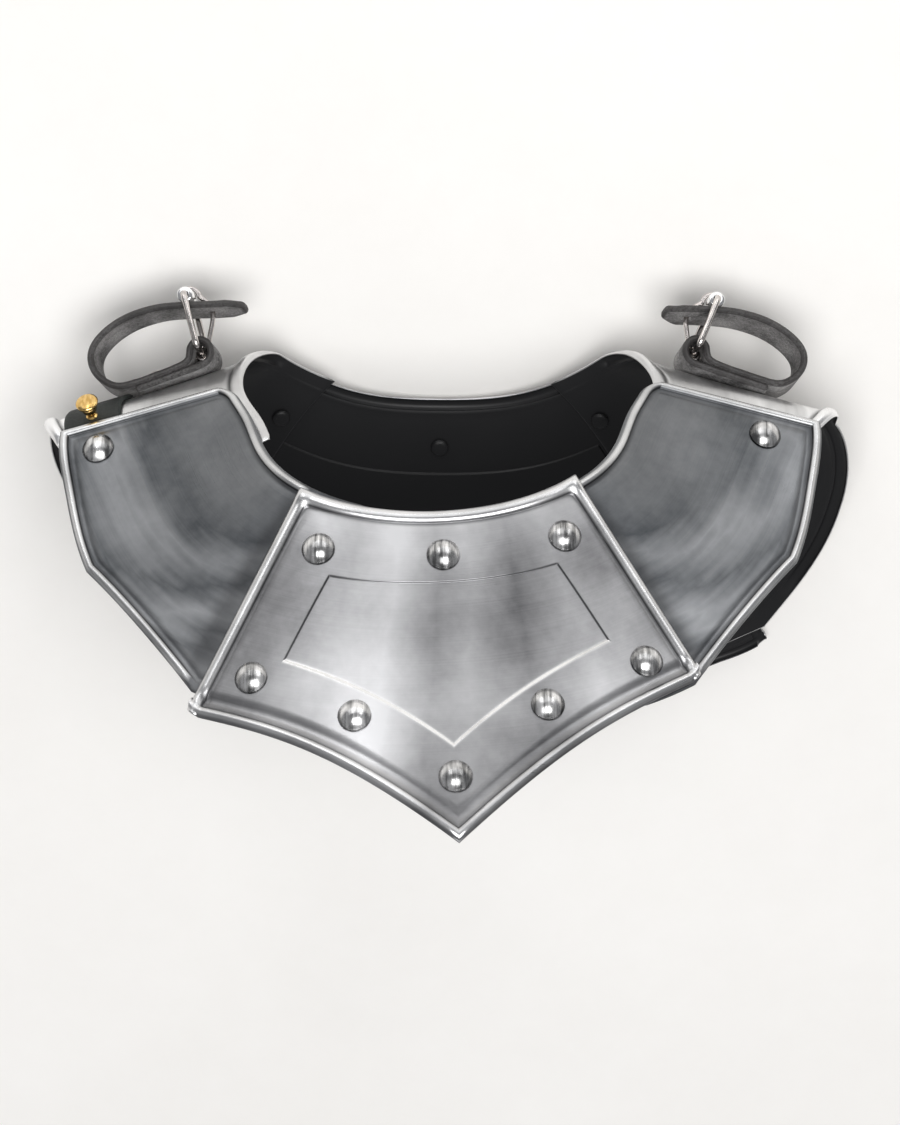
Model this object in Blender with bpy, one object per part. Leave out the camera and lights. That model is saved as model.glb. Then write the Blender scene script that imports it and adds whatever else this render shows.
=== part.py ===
# Steel gorget: a front and a back half, each of three plates on one another, with a leather
# strap and a roller buckle on each shoulder and a buttoned leather tab on one of them.
# It is worked out as worn (X across, Y to the back, Z up) and then laid on its back.
import math

import bmesh
import bpy
import numpy as np
from mathutils import Matrix, Vector

# Neck opening, at the outer faces of the front side plates
NECK_HALF_WIDTH = 0.087
NECK_FRONT = 0.070  # neck axis to the front edge
NECK_BACK = 0.067  # neck axis to the back edge
NECK_FALL = 0.034  # front edge below the neck axis's zero
NECK_RISE = 0.018  # shoulder crest above it

# Sections round the neck from the front centre to the back centre. Across, depth and height
# are shares of the sizes above; heading and drop are the way the plates run, in degrees.
# columns: name, across, depth, height, heading, drop
SECTIONS = (
    ("front_centre", 0.000, -1.000, -1.000, 0.0, 51.0),
    ("front_corner", 0.632, -0.829, -0.706, 48.0, 50.6),
    ("front_flank", 0.834, -0.510, -0.356, 78.8, 33.0),
    ("front_rise", 0.900, -0.290, -0.068, 87.6, 22.4),
    ("shoulder_seam", 0.993, -0.023, 0.450, 90.0, 14.8),
    ("crest", 0.954, 0.328, 1.000, 90.0, 19.6),
    ("back_flank", 0.885, 0.530, 0.930, 100.0, 37.0),
    ("back_corner", 0.816, 0.690, 0.670, 119.7, 57.2),
    ("back_bend", 0.700, 0.795, 0.280, 130.0, 65.5),
    ("back_quarter", 0.400, 0.926, -0.190, 142.0, 73.0),
    ("back_centre", 0.000, 1.000, -0.300, 180.0, 78.0),
)

# How far the plates run from the neck edge
FRONT_TIP = 0.144
FRONT_CORNER = 0.1010
FRONT_FLANK = 0.0877
FRONT_SHOULDER = 0.0740
FRONT_HOLLOW = (0.0060, -0.0010)  # of the lower edge, from corner to flank and on to the seam
BACK_TIP = 0.168
# The back half hangs a little to the right, so it reaches farther there
BACK_CORNER = {"left": 0.142, "right": 0.156}
BACK_FLANK = {"left": 0.104, "right": 0.121}
BACK_CREST = {"left": 0.0872, "right": 0.0900}
BACK_SEAM = {"left": 0.0780, "right": 0.0750}  # on the left its rolled edge clears the tab
LOWER_BOW = 1.40  # hollow of the two lower edges of a centre plate
FRONT_TURN = math.radians(2.2)  # the centre plates sit a little turned, as fitted by hand
BACK_TURN = math.radians(1.2)

# Sheet, laps and borders
SHEET = 0.0012
LAP_GAP = 0.0006  # air between plates riveted on each other
CLEAR = 0.0003  # air between touching pieces
LAP = 0.028  # side plate under a centre plate
TONGUE_REACH = 0.035  # back side plate under the front one, beside the neck
TONGUE_WIDTH = 0.030
SHOULDER_LAP = {"left": 0.0066, "right": 0.024}  # the same at the outer end
TONGUE_RIM = {"left": 0.0035, "right": 0.0}  # tongue past the front plate, into the opening
BEAD_WIDTH = 0.0052
BEAD_HEIGHT = 0.0016
BEAD_LIP = 0.0004
BORDER_WIDTH = 0.010  # lower border of a centre plate: a bead, then a groove
BORDER_BEAD = 0.0046
GROOVE_DEPTH = 0.0007
CORNER_ROUND = 0.0095  # round of a front side plate's corner between neck and shoulder
CORNER_TURN = 0.95  # how far the neck edge follows that round, as the sine of its turn
PANEL_DEPTH = 0.0010
PANEL_STEP = 0.0015
PANEL_FROM_SIDE = 0.027
PANEL_FROM_LOWER = 0.034

# Rivets
HEAD_RADIUS = 0.0067
HEAD_HEIGHT = 0.0044
SHANK_RADIUS = 0.0022
CLENCH_RADIUS = 0.0038
CLENCH_HEIGHT = 0.0012
CLENCH_TAPER = 0.75
CLENCH_GAP = 0.0006  # clenched end to a hollow side of sheet
HEAD_STEPS = 3  # facets from the top of a head to its rim
RIVET_FROM_SIDE = 0.0195
RIVET_FROM_LOWER = 0.0200
TIP_RIVET_FROM_LOWER = 0.0205
RIVET_OFF_CENTRE = 0.40  # share of the way from tip to corner of the lower edge's middle rivets
CORNER_RIVET_FROM_SEAM = 0.0125
CORNER_RIVET_FROM_END = {"left": 0.0118, "right": 0.0193}
DRILL_DEPTH = 0.020
TOP_RIVET = 5  # numbers on a centre plate: the one in the middle of the neck edge
LOWER_RIVETS = (3, 4, 6, 7, 8)  # and those along the lower edge
# Distances from the neck edge, and of the corner rivets from the lower edge at side a and b
FRONT_SIZES = {"panel": 0.031, "middle_rivet": 0.0195, "corner_rivet": 0.0215, "low": (0.020, 0.0155)}
BACK_SIZES = {"panel": 0.034, "middle_rivet": 0.0220, "corner_rivet": 0.0235, "low": (0.020, 0.0200)}

# Leather
LEATHER = 0.0024
STRAP_WIDTH = 0.020
# Each strap from the neck edge outwards: where its own zero is, and from there the height of
# its loop, its free end, the buckle's roller and the end of the layer on the plate; end_slope
# is how the free end falls
STRAPS = {
    "left": {
        "outset": 0.000,
        "rise": 0.0330,
        "free_end": -0.0070,
        "end_slope": 0.30,
        "roller": 0.0142,
        "tail": 0.045,
    },
    "right": {
        "outset": 0.008,
        "rise": 0.0304,
        "free_end": -0.0005,
        "end_slope": 0.10,
        "roller": 0.0180,
        "tail": 0.048,
    },
}
LOOP_REACH = 0.0607
STRAP_RIVET = 0.0375
STRAP_HEAD_RADIUS = 0.0052
STRAP_HEAD_HEIGHT = 0.0030
STRAP_GAP = 0.0007  # under a strap, flat on a curved shoulder
FLAT_AT_RIVET = 0.0068  # strap lying flat on each side of its rivet
SLOT_WIDTH = 0.0050
STRAP_SPANS = 2
STRAP_DRILL_DEPTH = 0.024
TAB_LEATHER = 0.0020
TAB_WIDTH = 0.0235
TAB_MIDDLE = 0.0605  # distance of the tab's middle line from the neck edge
TAB_UNDER = 0.0235
TAB_OVER = 0.0245
STUD_FROM_SEAM = 0.0180
STUD_RADIUS = 0.0048
STUD_HEIGHT = 0.0092
# The stud's button from its top to its foot, as shares of its radius and height
# columns: radius, height
STUD_PROFILE = (
    (0.00, 1.00),
    (0.66, 0.93),
    (1.00, 0.72),
    (0.84, 0.56),
    (0.58, 0.32),
    (0.40, 0.12),
    (0.60, 0.00),
)

# Buckles
WIRE_RADIUS = 0.0014
BAR_ALONG = 0.0159  # bar in the strap's fold, from the strap's zero
BAR_RISE = 0.0093  # the same, off the plate
ROLLER_RADIUS = 0.0034
BUCKLE_SIDE_GAP = 0.0012
BUCKLE_CORNER = 0.0025
PRONG_RADIUS = 0.0011
PRONG_BOW = 0.0045

LEVEL_FRONT_SIDE = 0.0
LEVEL_FRONT_CENTRE = SHEET + LAP_GAP
LEVEL_BACK_SIDE = -(SHEET + TAB_LEATHER + 2 * CLEAR)
LEVEL_BACK_CENTRE = LEVEL_BACK_SIDE + SHEET + LAP_GAP
CORNER_GRIP = {"left": SHEET + CLEAR + TAB_LEATHER, "right": SHEET - LEVEL_BACK_SIDE}
SIDES = {"left": -1.0, "right": 1.0}
STEP = 0.0005  # for slopes of the surface
GRID_ROUNDS = 12  # rounds in which lines across and along find where they meet
TURNED_SIDES = 10
WIRE_SIDES = 6
SMOOTH_ANGLE = math.radians(35)
LYING_TURNS = (math.radians(-120), math.radians(-80))  # the turn on its back is between these
LYING_ROUNDS = 50

MATERIALS = {
    "steel": ((0.55, 0.56, 0.57, 1.0), 0.32, 1.0),
    "polished_steel": ((0.72, 0.72, 0.72, 1.0), 0.18, 1.0),
    "leather": ((0.055, 0.050, 0.048, 1.0), 0.62, 0.0),
    "tab_leather": ((0.025, 0.028, 0.026, 1.0), 0.55, 0.0),
    "nickel": ((0.70, 0.68, 0.65, 1.0), 0.15, 1.0),
    "brass": ((0.72, 0.50, 0.20, 1.0), 0.25, 1.0),
}


def clear_scene():
    for thing in list(bpy.data.objects):
        bpy.data.objects.remove(thing, do_unlink=True)


def smooth_step(x):
    x = np.clip(x, 0.0, 1.0)
    return x * x * (3.0 - 2.0 * x)


def unit(v):
    return v / np.linalg.norm(v, axis=-1, keepdims=True)


# The surface that all plates follow: straight lines running out from the neck curve

def section_values(row):
    name, across, depth, height, heading, drop = row
    neck = (
        across * NECK_HALF_WIDTH,
        depth * (NECK_FRONT if depth < 0 else NECK_BACK),
        height * (NECK_FALL if height < 0 else NECK_RISE),
    )
    way, fall = math.radians(heading), math.radians(drop)
    run = (math.cos(fall) * math.sin(way), -math.cos(fall) * math.cos(way), -math.sin(fall))
    return np.array(neck + run)


def closed_spline(knots, values):
    """Smooth closed curve: a cubic through the values, with the last knot on the first."""
    gaps = np.diff(knots)
    count = len(gaps)
    matrix = np.zeros((count, count))
    right = np.zeros((count, values.shape[1]))
    for i in range(count):
        after = (i + 1) % count
        matrix[i, i - 1] += gaps[i - 1]
        matrix[i, i] += 2 * (gaps[i - 1] + gaps[i])
        matrix[i, after] += gaps[i]
        right[i] = (values[after] - values[i]) / gaps[i] - (values[i] - values[i - 1]) / gaps[i - 1]
    bend = np.linalg.solve(matrix, 6 * right)

    def at(s):
        s = knots[0] + np.mod(np.asarray(s, float) - knots[0], knots[-1] - knots[0])
        i = np.clip(np.searchsorted(knots, s, side="right") - 1, 0, count - 1)
        j = (i + 1) % count
        gap = gaps[i][..., None]
        to_end, from_start = (knots[i + 1] - s)[..., None], (s - knots[i])[..., None]
        curved = (bend[i] * to_end**3 + bend[j] * from_start**3) / (6 * gap)
        flat_start = (values[i] / gap - bend[i] * gap / 6) * to_end
        return curved + flat_start + (values[j] / gap - bend[j] * gap / 6) * from_start

    return at


def build_ring():
    half = np.array([section_values(row) for row in SECTIONS])
    runs = np.linalg.norm(np.diff(half[:, :3], axis=0), axis=1)
    places = np.concatenate([[0.0], np.cumsum(runs)])
    mirror = np.array([-1, 1, 1, -1, 1, 1])
    knots = np.concatenate([-places[::-1], places[1:]])
    values = np.concatenate([half[::-1] * mirror, half[1:]])
    stations = {row[0]: place for row, place in zip(SECTIONS, places)}
    return closed_spline(knots, values[:-1]), stations


RING, STATION = build_ring()


def surface(s, r):
    value = RING(s)
    return value[..., :3] + np.asarray(r, float)[..., None] * unit(value[..., 3:])


def across_slope(s, r):
    return (surface(np.asarray(s) + STEP, r) - surface(np.asarray(s) - STEP, r)) / (2 * STEP)


def stretch(s, r):
    return np.linalg.norm(across_slope(s, r), axis=-1)


def outward(s, r):
    return unit(np.cross(unit(RING(s)[..., 3:]), across_slope(s, r)))


def lifted(s, r, height):
    return surface(s, r) + outward(s, r) * np.asarray(height, float)[..., None]


# Plates

def spread(anchors):
    """Grid lines from anchor lines; a whole number between two asks for that many between."""
    lines = []
    for k, item in enumerate(anchors):
        if callable(item):
            lines.append(item)
            continue
        for i in range(1, item + 1):
            share = i / (item + 1)
            before, after = anchors[k - 1], anchors[k + 1]
            lines.append(lambda x, b=before, a=after, t=share: b(x) * (1 - t) + a(x) * t)
    return lines


def slant(edge, s):
    """How much longer a way along r is than the same way square to an edge."""
    near, far = 0.5 * STEP, 1.5 * STEP
    before = (edge(s - near) - edge(s - far)) / STEP
    after = (edge(s + far) - edge(s + near)) / STEP
    slope = 0.5 * (np.abs(before) + np.abs(after)) / stretch(s, edge(s))
    return np.sqrt(1 + slope**2)


class Plate:
    """Outline of a plate on the surface: side edges, neck edge and reach, as functions."""

    def __init__(self, side_a, side_b, start, reach, middle=0.0, turn=0.0):
        self.side_a, self.side_b, self.start, self.reach = side_a, side_b, start, reach
        self.middle, self.turn = middle, turn

    def from_a(self, distance):
        return lambda r: self.side_a(r) + distance / stretch(self.side_a(r), r)

    def from_b(self, distance):
        return lambda r: self.side_b(r) - distance / stretch(self.side_b(r), r)

    def from_neck(self, distance):
        return lambda s: self.start(s) + distance * slant(self.start, s)

    def from_lower(self, distance):
        return lambda s: self.reach(s) - distance * slant(self.reach, s)

    def turned(self, s, r):
        """Slides a point round the middle of the plate's neck edge by its turn."""
        wide = stretch(s, r)
        return s + self.turn * r / wide, r - self.turn * (s - self.middle) * wide

    def grid(self, columns, rows):
        columns, rows = spread(columns), spread(rows)
        r = np.zeros((len(rows), len(columns)))
        s = np.zeros_like(r)
        for _ in range(GRID_ROUNDS):
            for j, column in enumerate(columns):
                s[:, j] = column(r[:, j])
            for i, row in enumerate(rows):
                r[i] = row(s[i])
        return s, r

    def cross(self, column, row):
        """Where a line across meets a line along."""
        r = np.array(0.0)
        for _ in range(GRID_ROUNDS):
            s = column(r)
            r = row(s)
        return s, r

    def distances(self, s, r):
        wide = stretch(s, r)
        return {
            "neck": (r - self.start(s)) / slant(self.start, s),
            "lower": (self.reach(s) - r) / slant(self.reach, s),
            "side_a": (s - self.side_a(r)) * wide,
            "side_b": (self.side_b(r) - s) * wide,
        }

    def point(self, s, r, height=0.0):
        s, r = self.turned(np.asarray(s, float), np.asarray(r, float))
        return lifted(s, r, height)

    def normal(self, s, r):
        s, r = self.turned(np.asarray(s, float), np.asarray(r, float))
        return outward(s, r)


def bead(distance, width=BEAD_WIDTH):
    """Rolled edge: a lip at the edge, the crest at half its width, flat past it."""
    share = np.clip(distance / width, 0, 1)
    round_top = BEAD_HEIGHT * np.sin(math.pi * share)
    return round_top + BEAD_LIP * np.clip(1 - 2 * share, 0, 1)


def lower_border(distance):
    groove = np.clip((distance - BORDER_BEAD) / (BORDER_WIDTH - BORDER_BEAD), 0, 1)
    return bead(distance, BORDER_BEAD) - GROOVE_DEPTH * np.sin(math.pi * groove)


def centre_relief(d, panel_from_neck):
    edge = np.maximum(bead(d["neck"]), np.maximum(bead(d["side_a"]), bead(d["side_b"])))
    low = lower_border(d["lower"])
    raised = np.where(edge > low, edge, low)
    raised = np.where((edge <= 0) | (low > edge), low, raised)
    inside = np.minimum(d["side_a"], d["side_b"]) - PANEL_FROM_SIDE
    inside = np.minimum(inside, d["neck"] - panel_from_neck)
    inside = np.minimum(inside, d["lower"] - PANEL_FROM_LOWER)
    return raised - PANEL_DEPTH * np.clip(inside / PANEL_STEP, 0, 1)


def side_relief(d, past_lap):
    """Beads on the open edges only; they fade out where another plate lies on top."""
    shown = np.clip(past_lap / BEAD_WIDTH, 0, 1)
    return np.maximum(bead(d["neck"]), bead(d["lower"])) * shown


def sheet_solid(name, outer, inner, parent, material, open_cells=()):
    """Closed solid between two grids of points, with some cells left open."""
    rows, columns = outer.shape[:2]
    count = rows * columns
    points = np.concatenate([outer.reshape(-1, 3), inner.reshape(-1, 3)])
    cells = {(i, j) for i in range(rows - 1) for j in range(columns - 1)} - set(open_cells)
    faces = []
    for i, j in sorted(cells):
        corners = [(i, j), (i + 1, j), (i + 1, j + 1), (i, j + 1)]
        ring = [row * columns + column for row, column in corners]
        faces.append(tuple(ring))
        faces.append(tuple(count + k for k in reversed(ring)))
        beside = ((i, j - 1), (i + 1, j), (i, j + 1), (i - 1, j))
        for k, neighbour in enumerate(beside):
            if neighbour not in cells:
                here, there = ring[k], ring[(k + 1) % 4]
                faces.append((there, here, here + count, there + count))
    return mesh_object(name, points, faces, parent, material)


def mesh_object(name, points, faces, parent, material):
    mesh = bpy.data.meshes.new(name)
    mesh.from_pydata([tuple(p) for p in points], [], faces)
    work = bmesh.new()
    work.from_mesh(mesh)
    loose = [v for v in work.verts if not v.link_faces]
    bmesh.ops.delete(work, geom=loose, context="VERTS")
    bmesh.ops.triangulate(work, faces=work.faces)
    bmesh.ops.recalc_face_normals(work, faces=work.faces)
    work.to_mesh(mesh)
    work.free()
    mesh.shade_smooth()
    mesh.set_sharp_from_angle(angle=SMOOTH_ANGLE)
    thing = bpy.data.objects.new(name, mesh)
    bpy.context.scene.collection.objects.link(thing)
    thing.parent = parent
    mesh.materials.append(material)
    return thing


def standing(origin, up):
    """Frame with its z along a surface's normal."""
    up = Vector([float(v) for v in up]).normalized()
    turn = up.to_track_quat("Z", "Y").to_matrix().to_4x4()
    return Matrix.Translation([float(v) for v in origin]) @ turn


def placed(points, matrix):
    rotation = np.array(matrix.to_3x3())
    return np.asarray(points, float) @ rotation.T + np.array(matrix.translation)


def turned_shape(profile, sides):
    """Points and faces of a profile of (radius, height) turned round z."""
    points, faces, rings = [], [], []
    for radius, height in profile:
        start = len(points)
        if radius == 0:
            points.append((0.0, 0.0, height))
            rings.append([start] * sides)
            continue
        for k in range(sides):
            angle = 2 * math.pi * k / sides
            points.append((radius * math.cos(angle), radius * math.sin(angle), height))
        rings.append(list(range(start, start + sides)))
    closed = profile[0][0] != 0
    pairs = zip(rings, rings[1:] + rings[:1] if closed else rings[1:])
    for upper, lower in pairs:
        for k in range(sides):
            corners = (upper[k], lower[k], lower[(k + 1) % sides], upper[(k + 1) % sides])
            face = list(dict.fromkeys(corners))
            if len(face) > 2:
                faces.append(face)
    return points, faces


def dome(radius, height, foot, steps):
    """Profile of a round cap from its top to its rim."""
    ball = (radius**2 + height**2) / (2 * height)
    full = math.asin(min(1.0, radius / ball))
    return [
        (ball * math.sin(full * k / steps), foot + height - ball + ball * math.cos(full * k / steps))
        for k in range(steps + 1)
    ]


def rivet(name, place, grip, parent, material, radius=HEAD_RADIUS, height=HEAD_HEIGHT):
    """Domed head, shank and clenched end; grip is the depth of all that it holds."""
    foot = -grip - CLENCH_GAP
    profile = dome(radius, height, CLEAR, HEAD_STEPS)
    profile += [(SHANK_RADIUS, CLEAR), (SHANK_RADIUS, foot), (CLENCH_RADIUS, foot)]
    profile += [(CLENCH_TAPER * CLENCH_RADIUS, foot - CLENCH_HEIGHT), (0, foot - CLENCH_HEIGHT)]
    points, faces = turned_shape(profile, TURNED_SIDES)
    return mesh_object(name, placed(points, place), faces, parent, material)


def drill(target, places, radius, depth):
    """Cuts round holes down the z of each place."""
    half = depth / 2
    profile = [(0, half), (radius, half), (radius, -half), (0, -half)]
    hole, hole_faces = turned_shape(profile, TURNED_SIDES)
    points, faces = [], []
    for place in places:
        start = len(points)
        points += [tuple(p) for p in placed(hole, place)]
        faces += [[start + k for k in face] for face in hole_faces]
    cutter = mesh_object(target.name + "_holes", points, faces, target.parent, MATERIAL["steel"])
    cutter.hide_render = True
    cutter.display_type = "WIRE"
    cut = target.modifiers.new("rivet holes", "BOOLEAN")
    cut.operation = "DIFFERENCE"
    cut.solver = "EXACT"
    cut.object = cutter


def tube(name, path, radius, across, closed, parent, material):
    """Round wire along a flat path; across is square to the path's plane."""
    path, across = np.asarray(path, float), np.asarray(across, float)
    count, sides = len(path), WIRE_SIDES
    points, faces = [], []
    for i in range(count):
        before = path[i - 1] if i or closed else path[i]
        after = path[(i + 1) % count] if i + 1 < count or closed else path[i]
        out = unit(np.cross(after - before, across))
        for k in range(sides):
            angle = 2 * math.pi * k / sides
            points.append(path[i] + radius * (math.cos(angle) * out + math.sin(angle) * across))
    for i in range(count if closed else count - 1):
        j = (i + 1) % count
        for k in range(sides):
            n = (k + 1) % sides
            faces.append((i * sides + k, j * sides + k, j * sides + n, i * sides + n))
    if not closed:
        faces.append(tuple(range(sides)))
        faces.append(tuple((count - 1) * sides + k for k in range(sides)))
    return mesh_object(name, points, faces, parent, material)


def smooth_path(points, per_span):
    """Points on a smooth curve through the given ones."""
    points = np.asarray(points, float)
    ends = np.concatenate([[2 * points[0] - points[1]], points, [2 * points[-1] - points[-2]]])
    path = []
    for i in range(1, len(ends) - 2):
        a, b, c, d = ends[i - 1 : i + 3]
        for t in np.arange(per_span) / per_span:
            path.append(0.5 * (2 * b + (c - a) * t + (2 * a - 5 * b + 4 * c - d) * t**2
                               + (3 * b - a - 3 * c + d) * t**3))
    return np.array(path + [points[-1]])


# Outlines

def centre_reach(middle, half, tip, corner_a, corner_b):
    """Two hollow lower edges that meet in a point under the middle station."""

    def reach(s):
        share = (np.asarray(s, float) - middle) / half
        corner = np.where(share < 0, corner_a, corner_b)
        share = np.abs(share)
        return tip - (tip - corner) * share * (1 + LOWER_BOW * (1 - share))

    return reach


def reach_through(stations, values, hollows=None):
    """Reach that runs from value to value, hollowed between them by the given depths."""
    hollows = hollows or (0.0,) * (len(stations) - 1)

    def reach(s):
        s = np.asarray(s, float)
        place = np.interp(s, stations, range(len(stations)))
        span = np.clip(place.astype(int), 0, len(hollows) - 1)
        share = place - span
        return np.interp(s, stations, values) - np.take(hollows, span) * 4 * share * (1 - share)

    return reach


def constant(value):
    return lambda x: value + 0 * np.asarray(x, float)


def front_centre_plate():
    corner = STATION["front_corner"]
    reach = centre_reach(0.0, corner, FRONT_TIP, FRONT_CORNER, FRONT_CORNER)
    return Plate(constant(-corner), constant(corner), constant(0.0), reach, 0.0, FRONT_TURN)


def back_centre_plate():
    middle = STATION["back_centre"]
    corner = STATION["back_corner"]
    reach = centre_reach(middle, middle - corner, BACK_TIP, BACK_CORNER["right"], BACK_CORNER["left"])
    return Plate(
        constant(corner), constant(2 * middle - corner), constant(0.0), reach, middle, BACK_TURN
    )


def front_side_plate():
    """The plate on the side of positive s; the other side is its mirror image."""
    corner, flank, seam = (STATION[k] for k in ("front_corner", "front_flank", "shoulder_seam"))
    tucked = FRONT_CORNER - BORDER_BEAD
    reach = reach_through(
        (corner, flank, seam), (tucked, FRONT_FLANK, FRONT_SHOULDER), FRONT_HOLLOW
    )

    def hidden(r):
        return corner - LAP / stretch(corner + 0 * r, r)

    def neck_edge(s):
        share = np.clip(1 - (seam - np.asarray(s, float)) / CORNER_ROUND, 0, 1)
        return CORNER_ROUND * (1 - np.sqrt(1 - (CORNER_TURN * share) ** 2))

    return Plate(hidden, constant(seam), neck_edge, reach)


def back_side_plate(side):
    seam, crest, flank, corner = (
        STATION[k] for k in ("shoulder_seam", "crest", "back_flank", "back_corner")
    )
    under, tucked = FRONT_SHOULDER - BEAD_WIDTH, BACK_CORNER[side] - BORDER_BEAD
    reach = reach_through(
        (seam - TONGUE_REACH, seam, crest, flank, corner),
        (under, BACK_SEAM[side], BACK_CREST[side], BACK_FLANK[side], tucked),
    )

    def front_edge(r):
        outer = smooth_step((r - TONGUE_WIDTH) / TONGUE_WIDTH)
        lap = TONGUE_REACH + (SHOULDER_LAP[side] - TONGUE_REACH) * outer
        return seam - lap / stretch(seam + 0 * r, r)

    def hidden(r):
        return corner + LAP / stretch(corner + 0 * r, r)

    return Plate(front_edge, hidden, constant(-TONGUE_RIM[side]), reach)


# Pieces

def mirrored(points, side):
    return np.asarray(points, float) * (SIDES[side], 1.0, 1.0)


def plate_solid(name, plate, columns, rows, relief, level, parent, side="right"):
    s, r = plate.grid(columns, rows)
    height = level + relief(s, r)
    outer = mirrored(plate.point(s, r, height), side)
    inner = mirrored(plate.point(s, r, height - SHEET), side)
    return sheet_solid(name, outer, inner, parent, MATERIAL["steel"])


def rivet_place(plate, spot, level, side="right"):
    s, r = spot
    point = mirrored(plate.point(s, r, level), side)
    up = mirrored(plate.normal(s, r), side)
    return standing(point, up)


def centre_plate(name, plate, level, sizes, parent):
    a, b, neck, lower = plate.from_a, plate.from_b, plate.from_neck, plate.from_lower
    half, panel = BEAD_WIDTH / 2, PANEL_FROM_SIDE
    columns = [a(0), a(half), a(BEAD_WIDTH), 1, a(panel), a(panel + PANEL_STEP), 2,
               constant(plate.middle), 2,
               b(panel + PANEL_STEP), b(panel), 1, b(BEAD_WIDTH), b(half), b(0)]
    rows = [neck(0), neck(half), neck(BEAD_WIDTH), 1,
            neck(sizes["panel"]), neck(sizes["panel"] + PANEL_STEP), 2,
            lower(PANEL_FROM_LOWER + PANEL_STEP), lower(PANEL_FROM_LOWER), 1,
            lower(BORDER_WIDTH), lower(BORDER_BEAD), lower(BORDER_BEAD / 2), lower(0)]

    def relief(s, r):
        return centre_relief(plate.distances(s, r), sizes["panel"])

    solid = plate_solid(name, plate, columns, rows, relief, level, parent)
    middle = constant(plate.middle)
    span = RIVET_OFF_CENTRE * (plate.side_b(0.0) - plate.middle)
    from_lower = lower(RIVET_FROM_LOWER)
    lapped = [
        plate.cross(a(RIVET_FROM_SIDE), neck(sizes["corner_rivet"])),
        plate.cross(b(RIVET_FROM_SIDE), neck(sizes["corner_rivet"])),
        plate.cross(a(RIVET_FROM_SIDE), lower(sizes["low"][0])),
        plate.cross(b(RIVET_FROM_SIDE), lower(sizes["low"][1])),
    ]
    alone = [
        plate.cross(middle, neck(sizes["middle_rivet"])),
        plate.cross(constant(plate.middle - span), from_lower),
        plate.cross(constant(plate.middle + span), from_lower),
        plate.cross(middle, lower(TIP_RIVET_FROM_LOWER)),
    ]
    places = [rivet_place(plate, spot, level) for spot in lapped + alone]
    grips = [2 * SHEET + LAP_GAP] * len(lapped) + [SHEET] * len(alone)
    stem = name.replace("plate", "rivet")
    for k, (place, grip) in enumerate(zip(places, grips)):
        rivet(f"{stem}_{k + 1}", place, grip, parent, MATERIAL["polished_steel"])
    drill(solid, places, SHANK_RADIUS + CLEAR, DRILL_DEPTH)
    return places


def front_side(side, lapped, parent):
    """The side plate of the front half, its corner rivet and where that rivet stands."""
    plate = front_side_plate()
    corner, flank = constant(STATION["front_corner"]), constant(STATION["front_flank"])
    a, b, neck, lower = plate.from_a, plate.from_b, plate.from_neck, plate.from_lower
    half = BEAD_WIDTH / 2
    columns = [a(0), 2, corner, a(LAP + BEAD_WIDTH), 2, flank, 2, b(CORNER_ROUND), b(BEAD_WIDTH),
               b(half), b(0)]
    rows = [neck(0), neck(half), neck(BEAD_WIDTH), 5, lower(BEAD_WIDTH), lower(half), lower(0)]

    def relief(s, r):
        d = plate.distances(s, r)
        past_lap = d["side_a"] - LAP
        return np.maximum(side_relief(d, past_lap), bead(d["side_b"]))

    name = f"front_{side}_plate"
    solid = plate_solid(name, plate, columns, rows, relief, LEVEL_FRONT_SIDE, parent, side)
    spot = plate.cross(
        b(CORNER_RIVET_FROM_SEAM), constant(FRONT_SHOULDER - CORNER_RIVET_FROM_END[side])
    )
    place = rivet_place(plate, spot, LEVEL_FRONT_SIDE, side)
    grip = CORNER_GRIP[side]
    rivet(f"front_{side}_rivet", place, grip, parent, MATERIAL["polished_steel"])
    drill(solid, lapped + [place], SHANK_RADIUS + CLEAR, DRILL_DEPTH)
    return place


def back_side(side, lapped, through, parent):
    """The side plate of the back half, which runs over the shoulder to a hidden tongue."""
    plate = back_side_plate(side)
    seam, crest, flank, corner = (
        constant(STATION[k]) for k in ("shoulder_seam", "crest", "back_flank", "back_corner")
    )
    a, b, neck, lower = plate.from_a, plate.from_b, plate.from_neck, plate.from_lower
    half = BEAD_WIDTH / 2
    columns = [a(0), 2, seam, 4, crest, 2, flank, 2, b(LAP + BEAD_WIDTH), corner, 2, b(0)]
    rows = [neck(0), neck(half), neck(BEAD_WIDTH), 5, lower(BEAD_WIDTH), lower(half), lower(0)]

    def relief(s, r):
        d = plate.distances(s, r)
        before_lap = d["side_b"] - LAP
        past_seam = (s - STATION["shoulder_seam"]) * stretch(s, r)
        outer_edge = bead(d["lower"]) * np.clip(past_seam / BEAD_WIDTH, 0, 1)
        shown = np.clip(before_lap / BEAD_WIDTH, 0, 1)
        return np.maximum(bead(d["neck"]), outer_edge) * shown

    name = f"back_{side}_plate"
    solid = plate_solid(name, plate, columns, rows, relief, LEVEL_BACK_SIDE, parent, side)
    drill(solid, lapped + through, SHANK_RADIUS + CLEAR, DRILL_DEPTH)
    return solid


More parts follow.
